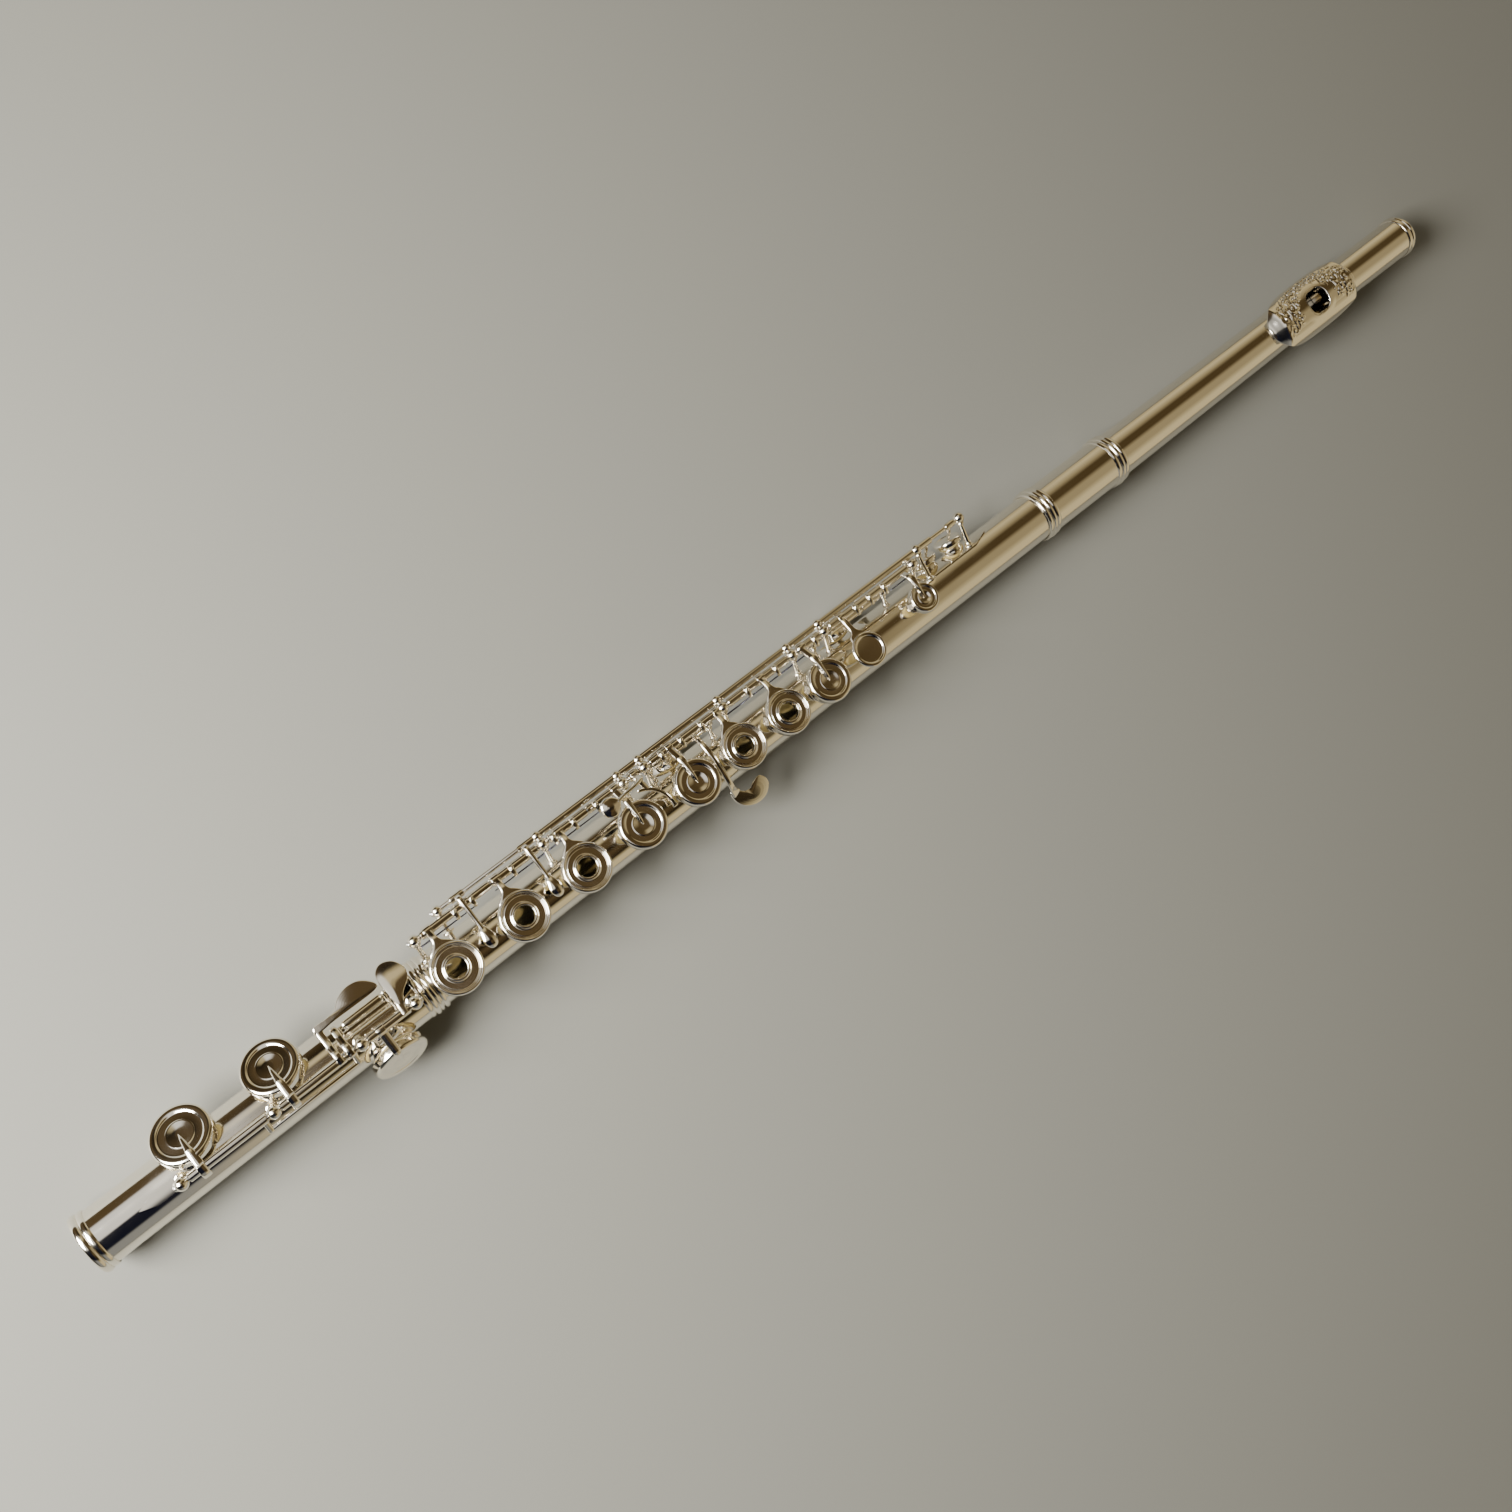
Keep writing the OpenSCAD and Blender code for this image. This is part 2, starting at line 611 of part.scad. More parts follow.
module g_sharp_pad() {
    color(felt) facing(side_deg) translate([g_sharp_hole[0], 0, 0]) full_pad(g_sharp_hole[2], pad_z);
}

thumb_open = 7;
thumb_tube = [325, 341.4];
thumb_flat_tube = [341.8, 350.2];

module thumb_b_key() {
    color(silver) about(side_y, side_z, thumb_open) difference() {
        union() {
            key_tube(thumb_tube[0], thumb_tube[1], side_y, side_z, side_tube_r);
            side_cup(thumb_hole, thumb_hole[0]);
        }
        rod_bore(thumb_tube[0], thumb_tube[1], side_y, side_z, 0.8 + run_gap);
    }
}

module thumb_b_pad() {
    color(felt) about(side_y, side_z, thumb_open) facing(side_deg)
        translate([thumb_hole[0], 0, 0]) full_pad(thumb_hole[2], pad_z);
}

// Second thumb touch, beside the cup
module thumb_b_flat_lever() {
    arm = [[side_y - 1, side_z - 1], [side_y + 1.2, side_z], [17, 5], [17.2, -6], [16.4, -8.4], [15.2, -8],
        [15.7, -5], [15.4, 3]];
    color(silver) about(side_y, side_z, thumb_open) difference() {
        union() {
            key_tube(thumb_flat_tube[0], thumb_flat_tube[1], side_y, side_z, side_tube_r);
            translate([341.6, 0, 0]) rotate([90, 0, 90]) linear_extrude(6.4) polygon(arm);
        }
        rod_bore(thumb_flat_tube[0], thumb_flat_tube[1], side_y, side_z, 0.8 + run_gap);
    }
}

/* ---- lever beside the right hand's first finger ---- */

module side_b_flat_lever() {
    bar_z = 18.7;
    arm_r = 10.7;
    arc_x = 225.5;
    touch = concat(arc(214.6, 12.2, 3.9, 60, 300, 14), [[219, 12.2], [219, 14.6]]);
    color(silver) difference() {
        union() {
            key_tube(side_lever_tube[0], side_lever_tube[1], rod_y, rod_z);
            // strap along the rods, with the finger touch at its end
            translate([0, 0, bar_z]) linear_extrude(1.3) polygon([[216, 12.7], [229.4, 12.9], [231.6, 13.6],
                [231.6, 15], [216, 15.2]]);
            translate([0, 0, bar_z]) linear_extrude(1.9) polygon(touch);
            translate([214.8, 12.3, bar_z + 1.9]) intersection() {
                translate([0, 0, -4.9]) sphere(r = 5.6, $fn = small);
                cylinder(r = 3.4, h = 4, $fn = small);
            }
            // riser from the hub to the strap
            cut_plate([[13, rod_z + 0.5], [12.9, bar_z + 1.2], [14.9, bar_z + 1.2], [16.6, rod_z + 1.3], [15, rod_z]],
                [[-1.3, 12], [1.3, 12], [1.3, 17], [-1.3, 17]], 230);
            // curved arm between the cups
            translate([arc_x, 0, 12.3]) intersection() {
                rotate_extrude($fn = fine) translate([arm_r - 0.8, 0]) square([1.6, 1.7]);
                linear_extrude(4) polygon([[0, 0], [0.5, 14], [14, 14], [14, -2.6]]);
            }
            cut_plate([[9.6, 12.3], [9.6, 14], [13.4, 14.2], [15.9, 13.6], [15.9, 11.4], [13.4, 12.3]],
                [[-1.3, 8.6], [1.3, 8.6], [1.3, 17], [-1.3, 17]], 230);
        }
        rod_bore(side_lever_tube[0], side_lever_tube[1], rod_y, rod_z);
    }
}

/* ---- trill keys ---- */

trill_local_y = trill_y * cos(trill_deg) - trill_z * sin(trill_deg);
trill_local_z = trill_y * sin(trill_deg) + trill_z * cos(trill_deg);
trill_touch_z = 15;
d_touch_x = 183.7;
d_sharp_touch_x = 155.4;

// Finger touch of a trill key, over the tube, with the arm that crosses the main rod
module trill_touch(x) {
    side = [[trill_y - 1, trill_z - 0.6], [trill_y + 1.1, trill_z], [trill_y + 0.3, trill_z + 3.6],
        [trill_y - 1.8, trill_touch_z + 0.9], [11, trill_touch_z + 1.2], [5.5, trill_touch_z + 1.9],
        [1, trill_touch_z + 1.7],
        [-2, trill_touch_z + 0.8], [-2, trill_touch_z + 0.1], [1, trill_touch_z + 0.4], [7.5, trill_touch_z],
        [trill_y - 2.4, trill_touch_z - 0.5], [trill_y - 1.2, trill_z + 2.8]];
    plan = concat(arc(0, 1, 2.5, 180, 360, 12), [[1.5, 6], [0.9, 9.5], [1.1, trill_y + 2], [-1.1, trill_y + 2],
        [-0.9, 9.5], [-1.5, 6]]);
    cut_plate(side, plan, x);
}

// Arm that stands up from a trill cup to its rod
module trill_arm(x, y, z, top) {
    side = [[-0.5, top - 0.5], [-0.5, top + 0.3], [2.6, top + 1], [y - 1.4, z - 1.3], [y, z + 1.2], [y + 1.1, z],
        [y + 0.4, z - 2], [4.3, top + 0.2], [4.3, top - 0.5]];
    cut_plate(side, [[-0.35, -1], [0.35, -1], [1.1, 3.6], [1.1, y + 2], [-1.1, y + 2], [-1.1, 3.6]], x);
}

module trill_cup(hole, arm_x) {
    facing(trill_deg) {
        translate([hole[0], 0, 0]) closed_cup(hole[2], pad_z, small_cup_h, small_pad_h);
        mirror([0, 1, 0]) trill_arm(arm_x, -trill_local_y, trill_local_z, pad_z + small_cup_h);
    }
}

d_trill_tube = [181.4, 381.2];

module d_trill_key() {
    color(silver) difference() {
        union() {
            key_tube(d_trill_tube[0], d_trill_tube[1], trill_y, trill_z, trill_tube_r);
            trill_touch(d_touch_x);
            trill_cup(d_trill_hole, 379);
        }
        rod_bore(d_trill_tube[0], d_trill_tube[1], trill_y, trill_z, trill_shaft_r + run_gap);
    }
}

module d_sharp_trill_key() {
    color(silver) {
        translate([0, trill_y, trill_z]) bar_x(trill_start_x - 1.6, trill_end_x + 1.6, trill_shaft_r);
        trill_touch(d_sharp_touch_x);
        trill_cup(d_sharp_trill_hole, d_sharp_trill_hole[0]);
    }
}

module trill_pads(hole, touch_x) {
    color(felt) {
        facing(trill_deg) translate([hole[0], 0, 0]) full_pad(hole[2], pad_z, small_pad_h);
        translate([touch_x, 4.2, 13.4]) cylinder(r = 1.9, h = 1.75, $fn = small);
    }
}

module d_trill_pads() { trill_pads(d_trill_hole, d_touch_x); }
module d_sharp_trill_pads() { trill_pads(d_sharp_trill_hole, d_sharp_touch_x); }

/* ---- foot joint ---- */

module foot_tube() {
    wall = 0.45;
    color(silver) difference() {
        union() {
            bar_x(0, socket_x, tube_r, fine);
            facing(foot_hole_deg) for (h = [low_c_hole, low_c_sharp_hole]) {
                chimney(h[0], 0, h[1] + wall, rim_z);
                rolled_rim(h[0], 0, h[1], rim_z);
            }
            facing(-foot_far_deg) {
                chimney(foot_d_sharp_hole[0], 0, foot_d_sharp_hole[1] + wall, rim_z);
                rolled_rim(foot_d_sharp_hole[0], 0, foot_d_sharp_hole[1], rim_z);
            }
        }
        bar_x(-1, 140, bore_r, fine);
        facing(foot_hole_deg) for (h = [low_c_hole, low_c_sharp_hole]) chimney(h[0], 0, h[1], rim_z + 2);
        facing(-foot_far_deg) chimney(foot_d_sharp_hole[0], 0, foot_d_sharp_hole[1], rim_z + 2);
    }
}

module foot_end_ring() {
    color(silver) turned(concat(bead(0, 2.7, 10.2, 10.9, 10), bead(2.8, 4.9, 10.3, 10.6, 8),
        [[tube_r + 0.02, 4.9], [tube_r + 0.02, 0]]));
}

// Sleeve that takes the body's tenon, with its ring
module foot_socket() {
    outer = 10.35;
    grip_x = socket_x - 1.4;
    grip_r = tube_r - 0.02;
    color(silver) turned(concat([[outer, grip_x], [outer, 126]], bead(126, 129, outer, 11, 8),
        bead(129, 130.9, outer, 10.8, 8),
        [[socket_r, 130.9], [socket_r, socket_x], [grip_r, socket_x], [grip_r, grip_x]]));
}

module foot_rib() {
    color(silver) strap(19, 124.8, 2.2, 0, 6);
}

module foot_posts() {
    color(silver) difference() {
        for (x = foot_post_x) post(x, 0, foot_rod_z, 0, foot_post_r, 10.2, 1.2);
        rod_bore(foot_post_x[0], foot_post_x[3], 0, foot_rod_z, steel_r + 0.02);
    }
}

module foot_steel() {
    color(steel) translate([0, 0, foot_rod_z]) bar_x(foot_post_x[0] - 2, foot_post_x[3] + 2, steel_r);
}

module foot_screws() {
    color(steel) {
        slotted_head(foot_post_x[0] - 2.1, 0, foot_rod_z, -1);
        slotted_head(foot_post_x[3] + 2.1, 0, foot_rod_z, 1);
    }
}

module foot_springs() {
    color(blue_steel) for (s = [[34.4, 24], [102, -25], [102, 13]])
        translate([0, 0, 13]) bar_x(min(s[0], s[0] + s[1]), max(s[0], s[0] + s[1]), 0.35, 16);
}

foot_local_y = foot_rod_z * sin(foot_hole_deg);
foot_local_z = foot_rod_z * cos(foot_hole_deg);
far_local_y = foot_rod_z * sin(foot_far_deg);
far_local_z = foot_rod_z * cos(foot_far_deg);

module foot_cup(hole, arm_x) {
    facing(foot_hole_deg) {
        translate([hole[0], 0, 0]) closed_cup(hole[2], pad_z);
        mirror([0, 1, 0]) pointed_arm(arm_x, foot_local_y, foot_local_z, pad_z + cup_h);
    }
}

low_c_tubes = [[37.1, 65.6], [95.8, 99.3]];
low_c_sharp_tube = [71, 95.4];
d_sharp_tube = [104.7, 120.6];
roller_y = 7.6;
roller_z = 14;
roller_x = [100.6, 116];

module low_c_key() {
    color(silver) about(0, foot_rod_z, foot_open_deg) difference() {
        union() {
            for (t = low_c_tubes) key_tube(t[0], t[1], 0, foot_rod_z);
            foot_cup(low_c_hole, low_c_hole[0] - 0.5);
            // bridge bar that joins the two tubes past the other key
            for (x = [64.4, 98.1]) cut_plate([[0, foot_rod_z - 1.4], [0, foot_rod_z + 1.4], [bridge_y, bridge_z + 1.1],
                [bridge_y - 1.1, bridge_z], [bridge_y, bridge_z - 1.1]], [[-1.1, -6], [1.1, -6], [1.1, 1], [-1.1, 1]], x);
            translate([0, bridge_y, bridge_z]) bar_x(63.4, 99.2, 0.8);
            // touch: bar to the roller and the lug at the roller's far end
            cut_plate([[0, foot_rod_z - 1.3], [0, foot_rod_z + 1.4], [6, 17], [8.8, 15], [8.8, 13], [6.6, 13],
                [4.6, 15.4]], [[-1.3, 0], [1.3, 0], [1.3, 10], [-1.3, 10]], 97.7);
            translate([99, 4.4, 12.6]) cube([18.6, 1.1, 1.6]);
            translate([98.5, 4.4, 12.6]) cube([1.2, 3.2, 1.6]);
            translate([116.5, 4.4, 12.6]) cube([1.1, 4.3, 2.4]);
            translate([0, roller_y, roller_z]) bar_x(98.4, 117, 0.7, 24);
        }
        for (t = low_c_tubes) rod_bore(t[0], t[1], 0, foot_rod_z);
    }
}

module c_roller() {
    color(silver) about(0, foot_rod_z, foot_open_deg) translate([0, roller_y, roller_z]) difference() {
        union() {
            bar_x(roller_x[0] + 0.4, roller_x[1] - 0.4, 1.65);
            bar_x(roller_x[0], roller_x[1], 1.4);
        }
        bar_x(roller_x[0] - 1, roller_x[1] + 1, 0.7 + run_gap);
    }
}

module low_c_pad() {
    color(felt) about(0, foot_rod_z, foot_open_deg) facing(foot_hole_deg)
        translate([low_c_hole[0], 0, 0]) full_pad(low_c_hole[2], pad_z);
}

module low_c_sharp_pad() {
    color(felt) about(0, foot_rod_z, foot_open_deg) facing(foot_hole_deg)
        translate([low_c_sharp_hole[0], 0, 0]) full_pad(low_c_sharp_hole[2], pad_z);
}

module low_c_sharp_key() {
    paddle = concat([[92.4, 8.9], [92.4, 11.6], [99.5, 11.8]], arc(109.8, 9.7, 7.4, 150, 25, 14),
        [[117, 12], [117, 10.5], [96, 10.4], [95.6, 8.9]]);
    color(silver) about(0, foot_rod_z, foot_open_deg) difference() {
        union() {
            key_tube(low_c_sharp_tube[0], low_c_sharp_tube[1], 0, foot_rod_z);
            foot_cup(low_c_sharp_hole, low_c_sharp_hole[0] - 0.3);
            cut_plate([[0, foot_rod_z - 1.3], [0, foot_rod_z + 1.4], [6, 17.2], [11, 15], [11, 13.6], [8, 14.2],
                [5, 15.6]], [[-1.2, 0], [1.2, 0], [1.2, 12], [-1.2, 12]], 93.7);
            intersection() {
                linear_extrude(30) polygon(paddle);
                translate([90, 0, 0]) rotate([90, 0, 90]) linear_extrude(30) polygon([[8, 15.8], [12, 15.2], [15, 14.2],
                    [18, 12.6], [17.6, 11.4], [14.6, 12.9], [12, 13.8], [8, 14.3]]);
            }
        }
        rod_bore(low_c_sharp_tube[0], low_c_sharp_tube[1], 0, foot_rod_z);
    }
}

module foot_d_sharp_key() {
    leaf = concat([[117.7, 0], [117.7, 13.5]], arc(121.6, 13.2, 3.8, 170, 60, 8), arc(122.6, 11.6, 5, 50, -38, 8),
        [[121, 4.2], [119.9, 0]]);
    color(silver) difference() {
        union() {
            key_tube(d_sharp_tube[0], d_sharp_tube[1], 0, foot_rod_z);
            facing(-foot_far_deg) {
                translate([foot_d_sharp_hole[0], 0, 0]) closed_cup(foot_d_sharp_hole[2], pad_z);
                pointed_arm(foot_d_sharp_hole[0] - 0.4, far_local_y, far_local_z, pad_z + cup_h);
            }
            intersection() {
                linear_extrude(30) polygon(leaf);
                translate([110, 0, 0]) rotate([90, 0, 90]) linear_extrude(30) polygon([[0, 20], [4, 19.8], [8, 18.6],
                    [13, 16.6], [18, 13.8], [17.4, 12.6], [12.6, 15.2], [7.6, 17.2], [3.4, 18.3], [0, 18.4]]);
            }
        }
        rod_bore(d_sharp_tube[0], d_sharp_tube[1], 0, foot_rod_z);
    }
}

module foot_d_sharp_pad() {
    color(felt) facing(-foot_far_deg) translate([foot_d_sharp_hole[0], 0, 0]) full_pad(foot_d_sharp_hole[2], pad_z);
}

head_tube();
lip_plate();
lip_riser();
crown();
stopper_cork();
stopper_rod();
stopper_plate();
body_tube();
barrel();
tenon_ring();
main_rib();
main_posts();
trill_posts();
main_steel();
pivot_screws();
side_posts();
side_steels();
needle_springs();
d_key();
d_pad();
e_key();
e_pad();
f_key();
f_pad();
f_sharp_key();
f_sharp_pad();
g_keys();
g_pads();
a_key();
a_pad();
b_flat_key();
b_flat_pad();
c_key();
c_pads();
g_sharp_key();
g_sharp_pad();
thumb_b_key();
thumb_b_pad();
thumb_b_flat_lever();
side_b_flat_lever();
d_trill_key();
d_trill_pads();
d_sharp_trill_key();
d_sharp_trill_pads();
foot_tube();
foot_end_ring();
foot_socket();
foot_rib();
foot_posts();
foot_steel();
foot_screws();
foot_springs();
low_c_key();
low_c_pad();
low_c_sharp_key();
low_c_sharp_pad();
foot_d_sharp_key();
foot_d_sharp_pad();
c_roller();
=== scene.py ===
import json
import math
import bmesh
import bpy
import numpy as np
from mathutils import Matrix, Vector


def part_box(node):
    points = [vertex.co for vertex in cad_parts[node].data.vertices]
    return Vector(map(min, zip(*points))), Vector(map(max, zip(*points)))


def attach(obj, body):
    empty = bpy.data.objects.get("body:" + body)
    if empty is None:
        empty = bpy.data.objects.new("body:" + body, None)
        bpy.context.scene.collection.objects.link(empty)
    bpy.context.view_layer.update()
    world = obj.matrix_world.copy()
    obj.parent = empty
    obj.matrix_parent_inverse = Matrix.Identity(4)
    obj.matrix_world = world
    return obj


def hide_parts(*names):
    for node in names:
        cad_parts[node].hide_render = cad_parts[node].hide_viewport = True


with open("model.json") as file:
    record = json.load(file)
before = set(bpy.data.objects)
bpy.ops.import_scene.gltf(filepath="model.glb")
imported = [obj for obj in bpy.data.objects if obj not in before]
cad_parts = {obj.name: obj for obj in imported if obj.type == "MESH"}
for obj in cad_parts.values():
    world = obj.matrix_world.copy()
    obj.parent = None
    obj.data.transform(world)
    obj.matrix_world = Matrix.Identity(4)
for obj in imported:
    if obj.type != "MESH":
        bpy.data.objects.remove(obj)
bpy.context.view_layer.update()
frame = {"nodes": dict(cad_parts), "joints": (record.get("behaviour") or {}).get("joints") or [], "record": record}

RECORD = frame["record"]
BODY_OF = {node: body for body, nodes in RECORD["behaviour"]["bodies"].items() for node in nodes}
SLOT_OF = {part["node"]: part["material_slot"] for part in RECORD["subparts"]}
JOINTS = {joint["name"]: joint for joint in frame["joints"]}

# ---- sizes, in millimetres ----

MM = 0.001
TUBE_R = 9.9
PAD_Z = 12.2
PAD_H = 2.6
CUP_H = 4.2
SMALL_CUP_H = 3.0
SMALL_PAD_H = 1.7
CUP_OVER_PAD = 0.55
PAD_HOLE_R = 3.95
RING_BORE = 9.92
KEY_TUBE_R = 1.6
COLLAR_R = KEY_TUBE_R + 0.35
ROD_R = 1.0
SIDE_TUBE_R = 1.5
SIDE_BORE = 0.85
TRILL_TUBE_R = 1.4
TRILL_SHAFT_R = 0.9
SIDE_DEG = 100
TRILL_DEG = 78
FOOT_DEG = 45
FOOT_FAR_DEG = -62


def rod_of(key):
    """Height and side place (y, z) of the rod that a key turns on."""
    place = JOINTS[key + "_press"]["pos_m"]
    return place[1] / MM, place[2] / MM


def travel(key):
    return JOINTS[key + "_press"]["range_deg"][1]


def span(node):
    """First and last place of a CAD node along the flute."""
    low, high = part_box(node)
    return low.x / MM, high.x / MM


def middle(node):
    return sum(span(node)) / 2


def half_length(node):
    first, last = span(node)
    return (last - first) / 2


MAIN_Y, MAIN_Z = rod_of("d")
SIDE_Y, SIDE_Z = rod_of("g_sharp")
TRILL_Y, TRILL_Z = rod_of("d_trill")
FOOT_Y, FOOT_Z = rod_of("low_c")

# ---- places and turns ----

ALONG = Matrix.Rotation(math.radians(90), 4, "Y")


def at(x, y, z):
    return Matrix.Translation((x, y, z))


def about(y, z, deg):
    """Turns about a rod that runs along the flute at y, z."""
    return at(0, y, z) @ Matrix.Rotation(math.radians(deg), 4, "X") @ at(0, -y, -z)


def facing(deg):
    """Turns +Z to the direction of a hole, counted from the top towards the rods."""
    return Matrix.Rotation(math.radians(-deg), 4, "X")


def seen_from(deg, y, z):
    """A rod's place y, z in the turned frame of facing(deg)."""
    place = facing(deg).inverted() @ Vector((0, y, z))
    return place.y, place.z


# ---- shapes ----

def put(bm, before, place):
    """Joins the doubles among the vertices that were not there before, and puts them in their place."""
    made = [vert for vert in bm.verts if vert not in before]
    bmesh.ops.remove_doubles(bm, verts=made, dist=0.002)
    made = [vert for vert in bm.verts if vert not in before]
    bmesh.ops.transform(bm, matrix=place, verts=made)
    return made


def softened(corners, steps=4):
    """Corners as (radius, height, softness), each one turned into a short curve."""
    points = []
    count = len(corners)
    for i, corner in enumerate(corners):
        here = Vector(corner[:2])
        soft = corner[2] if len(corner) > 2 else 0
        if soft == 0 or i in (0, count - 1):
            points.append(tuple(here))
            continue
        before = Vector(corners[i - 1][:2]) - here
        after = Vector(corners[i + 1][:2]) - here
        first = here + before.normalized() * min(soft, before.length * 0.48)
        last = here + after.normalized() * min(soft, after.length * 0.48)
        for k in range(steps + 1):
            t = k / steps
            points.append(tuple((1 - t) ** 2 * first + 2 * t * (1 - t) * here + t * t * last))
    return points


def spun(bm, outline, place=Matrix(), steps=72, closed=False):
    """Turns an outline of (radius, height) about Z. A closed outline makes a ring."""
    before = set(bm.verts)
    line = [bm.verts.new((radius, 0, height)) for radius, height in outline]
    pairs = list(zip(line, line[1:]))
    if closed:
        pairs.append((line[-1], line[0]))
    edges = [bm.edges.new(pair) for pair in pairs]
    bmesh.ops.spin(bm, geom=line + edges, cent=(0, 0, 0), axis=(0, 0, 1), angle=math.tau,
                   steps=steps, use_merge=True)
    return put(bm, before, place)


def lofted(bm, rings, place=Matrix()):
    """Extrudes a face through rings of points; both ends are closed."""
    turn = bm.verts.layers.int.get("turn") or bm.verts.layers.int.new("turn")
    before = set(bm.verts)
    line = [bm.verts.new(point) for point in rings[0]]
    for i, vert in enumerate(line):
        vert[turn] = i
    face = bm.faces.new(line)
    for ring in rings[1:]:
        made = bmesh.ops.extrude_face_region(bm, geom=[face])["geom"]
        face = next(g for g in made if isinstance(g, bmesh.types.BMFace) and len(g.verts) == len(ring))
        for vert in face.verts:
            vert.co = ring[vert[turn]]
    put(bm, before, place)


def hooped(bm, rings, place=Matrix()):
    """Extrudes a loop of edges through rings of points and joins the last one to the first."""
    turn = bm.verts.layers.int.get("turn") or bm.verts.layers.int.new("turn")
    before = set(bm.verts)
    line = [bm.verts.new(point) for point in rings[0]]
    for i, vert in enumerate(line):
        vert[turn] = i
    edges = [bm.edges.new((line[i - 1], line[i])) for i in range(len(line))]
    for ring in rings[1:] + rings[:1]:
        made = bmesh.ops.extrude_edge_only(bm, edges=edges)["geom"]
        edges = [g for g in made if isinstance(g, bmesh.types.BMEdge)]
        for vert in (g for g in made if isinstance(g, bmesh.types.BMVert)):
            vert.co = ring[vert[turn]]
    put(bm, before, place)


def spline(a, b, c, d, t):
    """The place at t from b to c on a curve through a, b, c and d."""
    return 0.5 * (2 * b + (c - a) * t + (2 * a - 5 * b + 4 * c - d) * t * t
                  + (3 * b - a - 3 * c + d) * t ** 3)


def curve_through(stations, steps):
    """Smooth stations: a curve through every one, with steps between neighbours."""
    points = np.array(stations, float)
    padded = np.vstack([2 * points[0] - points[1], points, 2 * points[-1] - points[-2]])
    line = []
    for a, b, c, d in zip(padded, padded[1:], padded[2:], padded[3:]):
        for t in np.arange(steps) / steps:
            line.append(spline(a, b, c, d, t))
    line.append(points[-1])
    return np.array(line)


def swept(bm, stations, place=Matrix(), up=(0, 0, 1), square=2.6, sides=20, steps=6):
    """A bar through stations of (x, y, z, width, thickness), with rounded ends."""
    line = curve_through(stations, steps)
    line[:, 3:] = np.maximum(line[:, 3:], 0.05)
    centre = line[:, :3]
    tangent = np.gradient(centre, axis=0)
    tangent /= np.linalg.norm(tangent, axis=1)[:, None]
    turns = np.arange(sides) * math.tau / sides
    across = np.sign(np.cos(turns)) * np.abs(np.cos(turns)) ** (2 / square) / 2
    above = np.sign(np.sin(turns)) * np.abs(np.sin(turns)) ** (2 / square) / 2
    sections = [(centre[i], tangent[i], line[i, 3], line[i, 4]) for i in range(len(line))]
    nose = []
    tail = []
    for deg in (18, 42, 66):
        size, reach = math.sin(math.radians(deg)), math.cos(math.radians(deg)) / 2
        for ends, (spot, way, width, thick), sign in ((nose, sections[0], -1), (tail, sections[-1], 1)):
            ends.append((spot + sign * way * reach * thick, way, width * (1 + size) / 2, thick * size))
    rings = []
    for spot, way, width, thick in nose + sections + tail[::-1]:
        side = np.cross(up, way)
        side /= np.linalg.norm(side)
        normal = np.cross(way, side)
        rings.append([tuple(spot + side * width * a + normal * thick * b) for a, b in zip(across, above)])
    lofted(bm, rings, place)


def pillow(bm, outline, centre, thick, height, place=Matrix(), dome=0.4, edge=0.5):
    """A touch piece with this plan outline: soft rim, domed top, lying on height(x, y)."""
    size = max(math.dist(point, centre) for point in outline)
    rim = 1 - edge / size
    levels = [(0.05, -0.5), (0.5, -0.5), (rim, -0.5)]
    for deg in (-60, -30, 0, 30, 60):
        levels.append((rim + (1 - rim) * math.cos(math.radians(deg)), math.sin(math.radians(deg)) / 2))
    levels += [(rim, 0.5), (0.82, 0.5), (0.65, 0.5), (0.45, 0.5), (0.25, 0.5), (0.06, 0.5)]
    rings = []
    for scale, lift in levels:
        ring = []
        for x, y in outline:
            px, py = centre[0] + (x - centre[0]) * scale, centre[1] + (y - centre[1]) * scale
            rise = dome * (1 - scale ** 2) if lift > 0 else 0
            ring.append((px, py, height(px, py) + lift * thick + rise))
        rings.append(ring)
    lofted(bm, rings, place)


def round_outline(spots, steps=8):
    """A closed smooth outline through the spots."""
    points = np.array(spots, float)
    line = []
    for i in range(len(points)):
        a, b, c, d = (points[(i + k) % len(points)] for k in (-1, 0, 1, 2))
        for t in np.arange(steps) / steps:
            line.append(tuple(spline(a, b, c, d, t)))
    return line


# ---- finishes ----

def node_group(name, inputs, outputs):
    group = bpy.data.node_groups.new(name, "ShaderNodeTree")
    for label, kind, value in inputs:
        socket = group.interface.new_socket(name=label, in_out="INPUT", socket_type=kind)
        socket.default_value = value
    for label, kind in outputs:
        group.interface.new_socket(name=label, in_out="OUTPUT", socket_type=kind)
    return group, group.nodes.new("NodeGroupInput"), group.nodes.new("NodeGroupOutput")


def filled(node, **values):
    """Sets a node's inputs by name; an underscore stands for a space."""
    for label, value in values.items():
        node.inputs[label.replace("_", " ")].default_value = value
    return node


